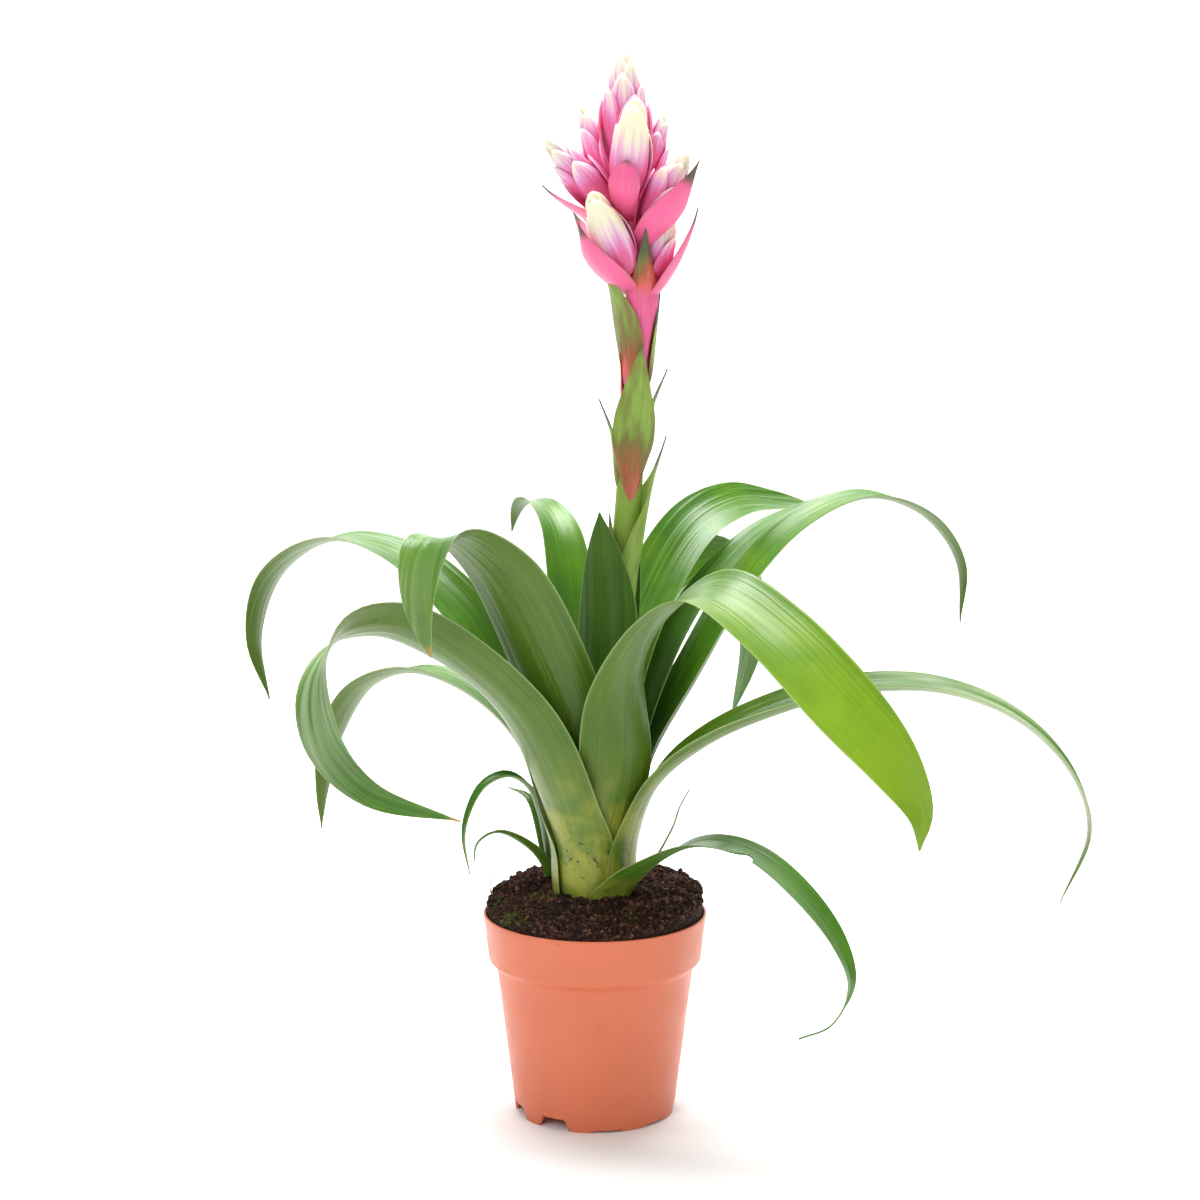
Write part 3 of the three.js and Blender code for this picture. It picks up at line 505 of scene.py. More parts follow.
def peat_material(settings):
    """Damp peat and bark dust with no shine: nearly black between the crumbs, red-brown on some of them, and
    with thin green moss where the plant has stood damp."""
    material, tree, shader = new_material("damp_peat", Roughness=0.9, Specular_IOR_Level=0.3)
    crumb = node(tree, "ShaderNodeAttribute", {"attribute_name": "crumb"}, out="Fac")
    broken = node(tree, "ShaderNodeMath", MULTIPLY_ADD,
                  {0: spots(tree, 1.8, detail=5.0), 1: 0.55, 2: crumb})
    peat = settings.peat_colour
    body = node(tree, "ShaderNodeValToRGB", links={0: broken}, stops=(
        (0.1, shaded(peat, 0.25)), (0.42, peat), (0.72, shaded(peat, 2.6)),
        (0.92, shaded(peat, 5.5))))
    moss = node(tree, "ShaderNodeMath", MULTIPLY,
                {0: band(tree, "moss", 0.2, 1.0), 1: spots(tree, 2.2, 0.46, 0.6, 0.85)})
    body = painted(tree, body, (moss, linear("4f5f22")))
    finish_shader(tree, shader, body, heights=[(spots(tree, 0.8, detail=5.0), 0.8, 0.8)])
    return material


def fibre_material():
    """Dry root fibre: pale straw brown, dull."""
    material, tree, shader = new_material("dry_root_fibre", Roughness=0.8)
    finish_shader(tree, shader, painted(tree, linear("8c7a5c"), (spots(tree, 6.0), linear("b9a888"))))
    return material


# The pot

AZIMUTHS = range(0, 360, 2)
FEET = 9
FIRST_NOTCH = 199
DEEP_NOTCHES = (0, 1, 4, 5)
NOTCH_WIDTH = 17.5
NOTCH_HEIGHTS = (1.2, 6.5)
NOTCH_OUTSIDE = 1.5
NOTCH_INSIDE = 3.5
FOOT_RADIUS = 43.0
BODY_TOP_RADIUS = 53.0
BAND_RADIUS = 57.2
BAND_BOTTOM = 84.0
DRAIN_RADIUS = 3.0
DRAIN_INSET = 9.0
DRAIN_SPAN = (3.0, 12.0)
DRAIN_SIDES = 24
POT_WALL = 1.4
FLOOR_LIFT = 7.0
FLOOR_THICKNESS = 1.6
BOSS_RADIUS = 20.0
PROFILE_STEP = 3.0


def notch_lift(azimuth):
    """How far the foot's rim is raised at an azimuth, with rounded and sloping notch sides."""
    lift = 0.0
    half = math.degrees(NOTCH_WIDTH / 2 / FOOT_RADIUS)
    for k in range(FEET):
        off = abs((azimuth - FIRST_NOTCH - k * 360 / FEET + 180) % 360 - 180)
        opened = float(ease(half + NOTCH_OUTSIDE, half - NOTCH_INSIDE, off))
        lift = max(lift, NOTCH_HEIGHTS[k in DEEP_NOTCHES] * opened)
    return lift


def corner(previous, at, after, radius, steps=5):
    """A profile's corner rounded to about the radius."""
    before = unit(np.subtract(previous, at)) * radius + at
    behind = unit(np.subtract(after, at)) * radius + at
    return [tuple((1 - t) ** 2 * before + 2 * t * (1 - t) * np.array(at) + t * t * behind)
            for t in np.linspace(0, 1, steps)]


def stepped(profile):
    """A profile with points added on its long straight stretches."""
    points = [profile[0]]
    for start, end in zip(profile, profile[1:]):
        count = max(1, math.ceil(math.dist(start, end) / PROFILE_STEP))
        points += [tuple(mix(np.array(start), np.array(end), (k + 1) / count)) for k in range(count)]
    return points


def drilled(mesh, material):
    """The pot with a drain hole through its raised floor, inside each deep notch."""
    drills = Surface()
    sweep = turns(DRAIN_SIDES)
    round_hole = np.stack([np.cos(sweep), np.sin(sweep), 0 * sweep], 1) * DRAIN_RADIUS
    for k in DEEP_NOTCHES:
        middle = heading(FIRST_NOTCH + k * 360 / FEET) * (FOOT_RADIUS - DRAIN_INSET)
        add_rings(drills, np.array([round_hole + middle + (0, 0, z) for z in DRAIN_SPAN]), {"share": 0.0})
    pot, drill = put("pot", mesh), put("drill", drills.mesh("drill", material, recalculate=True))
    cut = pot.modifiers.new("drain_holes", "BOOLEAN")
    cut.operation, cut.solver, cut.object = "DIFFERENCE", "EXACT", drill
    result = applied_mesh(pot, "nursery_pot")
    for each in (pot, drill):
        bpy.data.objects.remove(each)
    result.set_sharp_from_angle(angle=SHARP_ANGLE)
    return result


def pot_mesh(settings, material):
    rim, top = settings.rim_radius / MM, settings.height / MM
    # Each corner of the profile, from the underside out and up to the rim and back down to the floor: its
    # radius, its height and how round it is.
    sketch = [
        (BOSS_RADIUS, 0, 0.5), (BOSS_RADIUS + 6, FLOOR_LIFT, 1.5),
        (FOOT_RADIUS - POT_WALL - 0.8, FLOOR_LIFT, 0.6),
        (FOOT_RADIUS - POT_WALL, 0, 0.4), (FOOT_RADIUS, 0, 0.6), (BODY_TOP_RADIUS, BAND_BOTTOM - 3, 1.0),
        (BAND_RADIUS, BAND_BOTTOM + 0.8, 0.8), (rim, top, 0.6), (rim - POT_WALL, top, 0.5),
        (BAND_RADIUS - POT_WALL, BAND_BOTTOM + 4, 1.0), (BODY_TOP_RADIUS - POT_WALL, BAND_BOTTOM - 2, 1.0),
        (FOOT_RADIUS - POT_WALL + 0.9, FLOOR_LIFT + FLOOR_THICKNESS, 1.2),
        (BOSS_RADIUS + 5.4, FLOOR_LIFT + FLOOR_THICKNESS, 1.0), (BOSS_RADIUS - 0.4, FLOOR_THICKNESS, 0.6),
    ]
    profile = []
    places = [(0.0, 0.0)] + [(r, z) for r, z, _ in sketch] + [(0.0, FLOOR_THICKNESS)]
    for i, (r, z, radius) in enumerate(sketch, 1):
        profile += corner(places[i - 1], (r, z), places[i + 1], radius)
    surface = Surface()
    lifts = [notch_lift(a) for a in AZIMUTHS]
    skirt = FOOT_RADIUS - POT_WALL - 0.9
    rings = [[around(r, a, max(z, lift) if skirt < r and z < FLOOR_LIFT else z)
              for a, lift in zip(AZIMUTHS, lifts)] for r, z in stepped(profile)]
    add_rings(surface, np.array(rings), {"share": 0.0})
    return drilled(surface.mesh("nursery_pot", material, recalculate=True), material)


# The peat

SOIL_DROP = 13.0
SOIL_CROWN = 122.4
SOIL_RADIUS = 57.6
SOIL_RIM = 107.0
RIM_RADIUS = 60
HIGH_SIDE = 70
GAP = 0.3
SOIL_RINGS = 56
CRUMB_FLOOR = 107.4
CRUMB_TURN = (6.28, 6.28, 6.28)
SMALLEST_CRUMB = 0.22
THREAD_STATIONS = 12
THREAD_END = 0.6

# The peat's lumps, from coarse to fine: how far apart, where in the noise, and how high.
LUMPS = ((12.0, 3.1, 2.0), (4.6, 8.7, 1.8), (1.7, 5.3, 0.7))

# Where thin moss grows on the peat: x, y and reach.
MOSS = ((-42, -29, 11), (-27, -12, 8), (-51, -6, 8), (18, -40, 5))


def soil_height(radius, azimuth):
    """A mound that stays high at the back and falls to the rim in front, broken into small lumps."""
    share = radius / SOIL_RADIUS
    bank = min(1.0, 0.57 + 0.53 * math.cos(math.radians(azimuth - HIGH_SIDE)))
    x, y = heading(azimuth)[:2] * radius
    lumps = sum(high * noise.noise(Vector((x / apart, y / apart, layer))) for apart, layer, high in LUMPS)
    return SOIL_CROWN - SOIL_DROP * share**2.5 * (1 - bank) + lumps


def peat_surface():
    surface = Surface()
    wall = BODY_TOP_RADIUS - POT_WALL - GAP
    lower = [(10.0, FLOOR_THICKNESS + GAP), (BOSS_RADIUS - 0.6, FLOOR_THICKNESS + GAP),
             (BOSS_RADIUS + 5, FLOOR_LIFT + FLOOR_THICKNESS + GAP),
             (FOOT_RADIUS - POT_WALL + 0.5, FLOOR_LIFT + FLOOR_THICKNESS + GAP),
             (wall - 0.2, BAND_BOTTOM - 2), (BAND_RADIUS - POT_WALL - GAP - 0.2, BAND_BOTTOM + 4),
             (RIM_RADIUS - POT_WALL - 2 * GAP, SOIL_RIM)]
    rings = [[around(r, a, z) for a in AZIMUTHS] for r, z in lower]
    for ring in range(SOIL_RINGS, 0, -1):
        r = SOIL_RADIUS * ring / SOIL_RINGS
        rings.append([around(r, a, soil_height(r, a)) for a in AZIMUTHS])
    add_rings(surface, np.array(rings), {"share": 0.0})
    flat = np.array(surface.points)[:, :2]
    patches = [np.exp(-(np.linalg.norm(flat - (x, y), axis=1) / reach) ** 2) for x, y, reach in MOSS]
    surface.values["moss"] = np.maximum.reduce(patches).tolist()
    return surface


def crumb_tree():
    """Scatters small broken crumbs over a surface, pressed a little into it, each with a shade of its own."""
    tree, (ground, density, size, seed, material) = new_tree(
        "peat_crumbs", "Crumbs", Ground="Geometry", Crumbs_per_square_metre="Float", Crumb_size="Float",
        Seed="Int", Material="Material")
    points = node(tree, "GeometryNodeDistributePointsOnFaces",
                  links={"Mesh": ground, "Density": density, "Seed": seed})
    crumb = node(tree, "GeometryNodeMeshIcoSphere", links={"Radius": 1.0, "Subdivisions": 1})
    spin = node(tree, "FunctionNodeRandomValue", VECTORS, {0: (0, 0, 0), 1: CRUMB_TURN, "Seed": seed})
    smallest = node(tree, "ShaderNodeMath", MULTIPLY, {0: size, 1: SMALLEST_CRUMB})
    stretch = node(tree, "FunctionNodeRandomValue", VECTORS, {0: smallest, 1: size, "Seed": seed})
    placed = node(tree, "GeometryNodeInstanceOnPoints", links={
        "Points": points, "Instance": crumb, "Rotation": spin, "Scale": stretch})
    shade = node(tree, "FunctionNodeRandomValue", NUMBERS, {2: 0.0, 3: 1.0, "Seed": 3}, out=1)
    shade = node(tree, "ShaderNodeMath", {"operation": "POWER"}, {0: shade, 1: 2.6})
    shade = node(tree, "ShaderNodeMath", MULTIPLY, {0: shade, 1: 0.6})
    placed = node(tree, "GeometryNodeStoreNamedAttribute", {"domain": "INSTANCE"},
                  {"Geometry": placed, "Name": "crumb", "Value": shade})
    real = node(tree, "GeometryNodeRealizeInstances", links={0: placed})
    done = node(tree, "GeometryNodeSetMaterial", links={"Geometry": real, "Material": material})
    node(tree, "NodeGroupOutput", links={0: done}, out=None)
    return tree


def thread(surface, route, radius, sides=6):
    """Adds a round thread along a route, a little thinner at its end."""
    path, along, across, _ = frames_along(route, THREAD_STATIONS * len(route), (1.0, 0.1, 0.0))
    sweep = turns(sides)[None, :, None]
    radii = radius * np.linspace(1, THREAD_END, len(path))[:, None, None]
    ring = across[:, None] * np.cos(sweep) + np.cross(along, across)[:, None] * np.sin(sweep)
    add_rings(surface, path[:, None] + ring * radii, {"share": 0.0})


# Dry fibres, each a radius and a route: one stands up beside the small front leaf, the rest lie on the peat.
FIBRES = (
    (0.7, [(33, -31, 149), (37.5, -30, 157), (41.5, -29, 165), (44.5, -28, 174), (50, -27, 184)]),
    (0.45, [(-54, 10, 113), (-57, 14, 119), (-55, 20, 124)]),
    (0.45, [(12, -33, 113), (17, -35, 116.5), (21, -32, 115), (23, -35, 113)]),
    (0.45, [(-20, -38, 111), (-15, -40, 114.5), (-8, -38, 114), (-4, -41, 111)]),
    (0.45, [(34, 6, 118), (39, 2, 121.5), (43, 4, 119)]),
)


def fibres_mesh(material):
    surface = Surface()
    for radius, route in FIBRES:
        thread(surface, route, radius)
    return surface.mesh("dry_fibres", material, recalculate=True)


# The leaves

SHEATH_FOOT = 104.4
SHEATH_TOP = 152.0
LOW_SHEATH_TOP = 125.0
COLLAR_HIGH = 104.0
TUBE_RADIUS = 20.8
TUBE_FLARE = 0.085
LAYER_PITCH = 1.4
LEAF_STRIPS = 14
LEAF_PATTERN_SHIFT = 37.0
TONE_PLACES = (0.1, 0.5, 0.95)
FLECK_REACH = 0.035
# How far the painted sheen fades in and out along a leaf, as a share of its length.
PAINTED_SHEEN_FADE = 0.1

# Where a leaf widens, opens, turns green and loses its specks, in lengths of its own sheath.
WIDENING, OPENING, GREENING, CLEARING = (0.55, 1.5), (0.9, 2.2), (0.4, 2.7), (0.9, 1.5)

# What a leaf has unless its own entry says otherwise. The flecks and the dry tip then lie past its end.
PLAIN_LEAF = dict(low=False, stations=84, thread=0, finest=0.022, twist=(0.45, 0.85), dry=1.1, flecks=9,
                  bloom=(0, 1, 0), bite=())

# Each leaf: azimuth of its root, sheath layer, half-angle of its sheath, width of its blade, depth of its
# channel on the rise and in the fall, roll at the crest and at the tip, where its taper starts, how light
# its green is at its root, crest and tip, which is partly its own colour and partly painted shade, the low
# values at the root standing for the shade deep in the rosette, and the midrib's route above the sheath.
# Some also have: where they lean into the first roll and twist to the second, how much of the taper is a
# thread and how fine it gets, where a dry tip starts, where a painted sheen starts and ends and how strong
# it is, where dark flecks lie, a low sheath, stations of their own, and bites in the margin, each a place,
# a length and a depth.
LEAVES = {
    "long_right": dict(
        azimuth=345, layer=1, wrap=58, width=36, rise=52, fall=30, roll=(20, 24), taper=0.3,
        tone=(0.6, 0.4, 0.35), bloom=(0.54, 0.95, 0.5),
        route=[(33, -8, 180), (58, -8, 202), (93, -4, 218), (136, 2, 229), (184, 6, 229), (227, 8, 212),
               (256, 10, 182), (266, 12, 151), (252.5, 14, 110)]),
    "curled_left": dict(
        azimuth=236, layer=2, wrap=66, width=41, rise=40, fall=22, roll=(18, -42), lean=(0.36, 0.62),
        twist=(0.6, 0.82), taper=0.22, tone=(0.3, 0.36, 0.25), dry=0.985, bloom=(0.6, 0.84, 0.42),
        flecks=0.56,
        route=[(-20, -26, 182), (-39, -40, 224), (-73, -60, 261), (-102, -76, 279), (-126, -91, 277),
               (-137, -105, 257), (-132, -118, 228), (-110, -128, 206), (-65, -137, 194)]),
    "broad_right": dict(
        azimuth=285, layer=3, wrap=38, width=46, rise=38, fall=15, roll=(42, 52), taper=0.74,
        tone=(0.25, 0.4, 0.9),
        route=[(13, -24, 189), (16, -42, 240), (33, -62, 278), (57, -82, 297), (87, -102, 281),
               (120, -122, 249), (146, -133, 219), (158, -138, 197), (158, -140, 180)]),
    "broad_left": dict(
        azimuth=258, layer=4, wrap=36, width=44, rise=36, fall=20, roll=(0, -26), taper=0.62, dry=0.985,
        tone=(0.3, 0.3, 0.4), bloom=(0.8, 1.2, 0.25),
        route=[(-10, -26, 205), (-26, -44, 256), (-48, -63, 303), (-69, -81, 324), (-79, -92, 325),
               (-84, -101, 313), (-85, -109, 294), (-80, -116, 271)]),
    "high_left": dict(
        azimuth=154, layer=5, wrap=32, width=38, rise=44, fall=22, roll=(-18, 26), taper=0.5,
        tone=(-0.1, 0.2, 0.35), bloom=(0.62, 0.8, 0.3),
        route=[(-28, 16, 198), (-50, 29, 232), (-77, 41, 270), (-107, 50, 294), (-143, 58, 302),
               (-176, 64, 282), (-187.3, 66, 247), (-180.5, 66, 212)]),
    "low_left": dict(
        azimuth=150, layer=0, wrap=62, width=32, rise=44, fall=24, roll=(0, 16), taper=0.45,
        tone=(0.2, 0.35, 0.3),
        route=[(-36, 30, 190), (-64, 50, 216), (-100, 66, 227), (-130, 78, 215), (-148, 87, 185),
               (-154, 92, 154), (-156, 96, 131)]),
    "high_right": dict(
        azimuth=28, layer=4, wrap=34, width=30, rise=58, fall=26, roll=(0, -14), taper=0.5,
        tone=(0.05, 0.4, 0.35),
        route=[(29.5, 15, 193), (53, 15, 236), (81, 18, 285), (111, 26, 316), (145, 36, 329),
               (179, 48, 317), (199, 57, 290), (201, 62, 256)]),
    "rear_right": dict(
        azimuth=28, layer=5, wrap=26, width=24, rise=44, fall=22, roll=(12, 0), taper=0.5,
        tone=(0.0, 0.2, 0.3),
        route=[(29, 18, 219), (52, 38, 268), (86, 57, 305), (116, 80, 318), (136, 100, 321),
               (151, 114, 318)]),
    "arched_right": dict(
        azimuth=54, layer=7, wrap=42, width=33, rise=36, fall=18, roll=(14, 34), taper=0.5,
        tone=(0.2, 0.35, 0.3),
        route=[(14, 23, 232), (31, 40, 278), (53, 62, 310), (78, 90, 320), (102, 119, 316),
               (117, 138, 312), (126, 150, 309)]),
    "drooping_rear": dict(
        azimuth=98, layer=6, wrap=28, width=24, rise=40, fall=18, roll=(0, 60), taper=0.74,
        tone=(0.2, 0.3, 0.3),
        route=[(1, 27, 199), (14, 56, 245), (44, 96, 275), (69, 127, 283), (87, 144, 262), (90, 150, 227),
               (80, 154, 184)]),
    "rear_left": dict(
        azimuth=120, layer=8, wrap=42, width=31, rise=34, fall=30, roll=(0, 0), taper=0.5,
        tone=(0.2, 0.4, 0.3),
        route=[(-10, 17, 225), (-14, 32, 275), (-20, 52, 309), (-29, 70, 320), (-38, 87, 320),
               (-44, 100, 312), (-47, 108, 300)]),
    "young_front": dict(
        azimuth=252, layer=8, wrap=62, width=35, rise=48, fall=26, roll=(0, 0), taper=0.66,
        tone=(0.0, 0.08, 0.0),
        route=[(1, -18, 210), (6, -20, 270), (2.5, -20, 329)]),
    "young_rear": dict(
        azimuth=48, layer=9, wrap=60, width=26, rise=48, fall=26, roll=(0, 0), taper=0.45,
        tone=(0.1, 0.1, 0.0),
        route=[(11, 9, 210), (18, 11, 265), (24, 12, 314)]),
    "small_front": dict(
        azimuth=304, layer=0, wrap=44, width=28, rise=24, fall=15, roll=(26, 32), taper=0.42, thread=0.2,
        finest=0.045, low=True, stations=150, tone=(-0.15, 0.25, 0.35),
        bite=((0.45, 16.0, 8.0), (0.46, 11.0, 13.0)),
        route=[(31, -38, 146), (54, -46, 158), (80, -54, 155), (105, -66, 138), (125, -74, 113),
               (131, -80, 93), (121, -86, 74), (104, -90, 68)]),
}


def tube_radius(height, layer):
    """Radius of the rosette's tube at a height, for a sheath layer counted from the outermost."""
    return TUBE_RADIUS + TUBE_FLARE * (height - COLLAR_HIGH) - LAYER_PITCH * layer


def leaf_mesh(name, leaf, settings, material, number):
    """A leaf from its sheath to its tip: rolled round the rosette's tube at its foot, an open arc above."""
    top = LOW_SHEATH_TOP if leaf["low"] else SHEATH_TOP
    stations = leaf["stations"]
    out = heading(leaf["azimuth"])
    heights = (SHEATH_FOOT, (SHEATH_FOOT + top) / 2, top)
    feet = [out * tube_radius(z, leaf["layer"]) + (0, 0, z) for z in heights]
    start = heading(leaf["azimuth"] + 90)
    path, along, across, length = frames_along([*feet, *leaf["route"]], stations, start)
    at = np.linspace(0, 1, stations)
    sheath = (top - SHEATH_FOOT) / length
    widened, freed, greened, cleared = (
        ease(sheath * begins, sheath * ends, at) for begins, ends in (WIDENING, OPENING, GREENING, CLEARING))
    radius = np.hypot(path[:, 0], path[:, 1])
    drawn = np.clip((at - leaf["taper"]) / (1 - leaf["taper"]) / (1 - leaf["thread"]), 0, 1)
    blade = leaf["width"] * np.maximum(1 - drawn**2 * (0.55 + 0.45 * drawn), leaf["finest"])
    width = mix(2 * math.radians(leaf["wrap"]) * radius, blade, widened)
    first, last = leaf["roll"]
    leaned = ease(*leaf.get("lean", (sheath, 0.45)), at)
    roll = mix(first * leaned, last, ease(*leaf["twist"], at))
    cup = np.radians(mix(leaf["rise"], leaf["fall"], ease(0.3, 0.75, at)))
    side = rolled(across, along, roll)
    places = strip_places(stations, LEAF_STRIPS)
    for share, run, depth in leaf["bite"]:
        gone = 2 * depth / leaf["width"] * np.maximum(0, 1 - ((at - share) * length / run * 2) ** 2) ** 0.5
        places = np.maximum(places, (gone - 1)[:, None])
    open_rows = arcs(path, along, side, width, cup, places)
    turn = np.arctan2(path[:, 1], path[:, 0])[:, None] + places * (width / 2 / radius)[:, None]
    rolled_up = np.stack([np.cos(turn) * radius[:, None], np.sin(turn) * radius[:, None],
                          np.broadcast_to(path[:, 2:3], turn.shape)], -1)
    grid = mix(rolled_up, open_rows, freed[:, None, None])
    thickness = thinned(settings.leaf_thickness / MM, LEAF_STRIPS)
    dry = leaf["dry"]
    # The painted sheen: where along the blade it fades in and out, and how strong it is.
    low, high, strength = leaf["bloom"]
    rising, falling = (ease(place - PAINTED_SHEEN_FADE, place + PAINTED_SHEEN_FADE, at) for place in (low, high))
    flecked = np.exp(-((at - leaf["flecks"]) / FLECK_REACH) ** 2)
    surface = Surface()
    # How light the green is along the leaf carries painted shade near the root as well as the leaf's own
    # colour.
    add_blade(surface, grid, thickness, length, width, shift=LEAF_PATTERN_SHIFT * number,
              tone=np.interp(at, TONE_PLACES, leaf["tone"]), sheath=1 - greened,
              specked=np.maximum(1 - cleared, flecked), bloom=strength * rising * (1 - falling),
              dry=ease(dry - 0.01, dry + 0.012, at))
    return surface.mesh(name, material)


# The side shoot

OFFSET_PLACE = (-22.5, 23.0)
OFFSET_BUD = 110.0
OFFSET_SPREAD = 1.4
OFFSET_PATTERN_SHIFT = 23.0
OFFSET_THICKNESS = 0.7
OFFSET_STRIPS = 8
OFFSET_SIDES = 16

# The shoot's foot, as heights and radii.
OFFSET_FOOT = ((102, 4.0), (112, 4.0), (117, 3.6), (120, 2.4))

# Each of the shoot's leaves: azimuth, width and the midrib's route.
OFFSET_LEAVES = [
    dict(azimuth=200, width=12, route=[(-27, 21, 138), (-31, 18, 160), (-37, 14, 175), (-47, 9, 182),
         (-59, 4, 178), (-67, 0, 165), (-70, -2, 151), (-67, -4, 131)]),
    dict(azimuth=225, width=11, route=[(-27, 20, 128), (-36, 15, 141), (-53, 8, 151), (-63, 3, 146),
         (-65, 0, 136)]),
    dict(azimuth=250, width=9, route=[(-24, 20, 130), (-26, 20, 151)]),
    dict(azimuth=120, width=10, route=[(-27, 30, 136), (-36, 40, 162), (-48, 50, 166)]),
    dict(azimuth=60, width=8, route=[(-22, 26, 132), (-23, 30, 150)]),
]


def offset_mesh(material):
    surface = Surface()
    x, y = OFFSET_PLACE
    for number, leaf in enumerate(OFFSET_LEAVES):
        start = heading(leaf["azimuth"]) * OFFSET_SPREAD + (x, y, OFFSET_BUD)
        count = 40 if len(leaf["route"]) > 3 else 20
        beside = heading(leaf["azimuth"] + 90)
        path, along, across, length = frames_along([start, *leaf["route"]], count, beside)
        at = np.linspace(0, 1, count)
        width = leaf["width"] * np.maximum(np.sin(math.pi * (0.28 + 0.72 * at)), 0.02)
        cup = np.radians(mix(60, 26, at))
        grid = arcs(path, along, across, width, cup, strip_places(count, OFFSET_STRIPS))
        add_blade(surface, grid, OFFSET_THICKNESS, length, width, shift=OFFSET_PATTERN_SHIFT * number,
                  tone=0.25, specked=0.0, dry=0.0, sheath=0.5 * (1 - ease(0.0, 0.25, at)))
    rings = [[(x + r * math.cos(a), y + r * math.sin(a), z) for a in turns(OFFSET_SIDES)]
             for z, r in OFFSET_FOOT]
    add_rings(surface, np.array(rings), {"share": 0.1, "edge": 0.0, "upper": 0.0, "tone": 0.3, "sheath": 0.8,
                                         "specked": 0.0, "dry": 0.0})
    return surface.mesh("offset_shoot_leaves", material)


# The flower stalk and its bracts

STALK_ROUTE = [(0, 0, 70), (0, 0, 120), (6, 0, 210), (16, 0, 305), (20, 0, 375), (23, 0, 417), (20, 0, 460),
               (16, 0, 495), (15, 0, 550)]
STALK_LINE = smooth_route(STALK_ROUTE, 600)[0]
HEAD_FOOT = 380.0
STEM_RINGS = 60
BRACT_THICKNESS = 0.8
DUSK_FADE = 0.08

# The outlines of bracts, as shares of the length and of the width.
LANCE = ((0, 0.12), (0.15, 0.6), (0.42, 1), (0.62, 0.84), (0.85, 0.34), (1, 0))
KITE = ((0, 0.04), (0.2, 0.5), (0.42, 1), (0.58, 0.9), (0.84, 0.36), (1, 0))
NEEDLE = ((0, 1), (0.42, 0.95), (0.64, 0.5), (0.74, 0.18), (0.86, 0.08), (1, 0))
FUNNEL = ((0, 0.2), (0.2, 0.5), (0.44, 1), (0.54, 0.92), (0.68, 0.54), (0.84, 0.26), (1, 0))
SHIELD = ((0, 0.4), (0.3, 0.8), (0.7, 1), (0.9, 0.82), (0.96, 0.3), (1, 0))
HORN = ((0, 0.3), (0.2, 0.78), (0.4, 1), (0.6, 0.84), (0.78, 0.42), (0.9, 0.14), (1, 0))

# Each bract: azimuth, height of its foot, length, width, how far its tip stands off, its outline, how pink
# it is at its foot, its middle and its tip, and where it turns dusky. Some also have: how far round they
# clasp the stalk.
STALK_BRACTS = [
    dict(azimuth=205, height=262, length=64, width=17, lean=3, ripe=(0.1, 0.05, 0.1), dusk=0.9),
    dict(azimuth=15, height=286, length=80, width=36, lean=11, outline=NEEDLE, ripe=(0.0, 0.0, 0.06),
         dusk=0.8, clasp=125),
    dict(azimuth=275, height=326, length=90, width=25, lean=6.5, outline=KITE, ripe=(0.56, 0.16, 0.1),
         dusk=0.94),
    dict(azimuth=352, height=348, length=54, width=14, lean=8, ripe=(0.3, 0.05, 0.0), dusk=0.7),
    dict(azimuth=185, height=336, length=50, width=13, lean=11, ripe=(0.3, 0.1, 0.0), dusk=0.7),
]
HEAD_BRACTS = [
    dict(azimuth=105, height=384, length=60, width=21, lean=5, ripe=(0.5, 0.4, 0.1), dusk=0.85),
    dict(azimuth=150, height=381, length=38, width=18, lean=1, outline=SHIELD, ripe=(0.7, 0.62, 0.4),
         dusk=0.95),
    dict(azimuth=226, height=386, length=67, width=22, lean=14, ripe=(0.7, 0.27, 0.2), dusk=0.93),
    dict(azimuth=12, height=388, length=60, width=17, lean=6, ripe=(0.3, 0.1, 0.05), dusk=0.6),
    dict(azimuth=294, height=402, length=74, width=21, lean=12, outline=FUNNEL, ripe=(1.0, 0.8, 0.22),
         dusk=0.78),
]


def stalk_at(height):
    """The middle of the flower stalk at a height."""
    return np.array([np.interp(height, STALK_LINE[:, 2], STALK_LINE[:, k]) for k in (0, 1)] + [height])


def add_bract(surface, route, start_across, width, ripe, dusk, outline, clasp=70, opened=24, stations=44,
              strips=12):
    """A leaf-like bract along a route, as wide as its outline says and clasping the stalk at its foot."""
    path, along, across, length = frames_along(route, stations, start_across)
    at = np.linspace(0, 1, stations)
    breadth = width * np.maximum(eased_stops(at, outline), 0.02)
    cup = np.radians(mix(clasp, opened, ease(0, 0.8, at)))
    grid = arcs(path, along, across, breadth, cup, strip_places(stations, strips))
    foot, middle, tip = ripe
    blush = np.interp(at, [0, 0.12, 0.45, 0.8, 1], [foot, foot, middle, tip, tip])
    add_blade(surface, grid, thinned(BRACT_THICKNESS, strips), length, breadth, shift=float(path[0, 2]),
              ripe=blush, dusk=ease(dusk - DUSK_FADE, dusk + DUSK_FADE, at))


def add_stalk_bract(surface, azimuth, height, length, width, lean, ripe, dusk, clasp=70, outline=LANCE):
    """Adds a bract of the stalk. Its midrib stands off the stalk's middle line by more and more."""
    out, beside = heading(azimuth), heading(azimuth + 90)
    stand = [(0, 4.6), (0.12, 7.2), (0.65, 7.6 + lean * 0.35), (1, 7.6 + lean)]
    route = [stalk_at(height + length * share) + out * off for share, off in stand]
    add_bract(surface, route, beside, width, ripe, dusk, outline, clasp)


def add_stem(surface, rings, ripe, sides=28):
    """A round stem through [height, radius] rings about the stalk's middle line."""
    heights = np.linspace(rings[0][0], rings[-1][0], STEM_RINGS)
    radii = np.interp(heights, *zip(*rings))
    loops = np.array([[stalk_at(z) + (r * math.cos(a), r * math.sin(a), 0) for a in turns(sides)]
                      for z, r in zip(heights, radii)])
    values = np.append(np.repeat(np.interp(heights, *zip(*ripe)), sides), [ripe[0][1], ripe[-1][1]])
    add_rings(surface, loops, {"share": 0.2, "edge": 0.0, "upper": 0.0, "ripe": values, "dusk": 0.0})


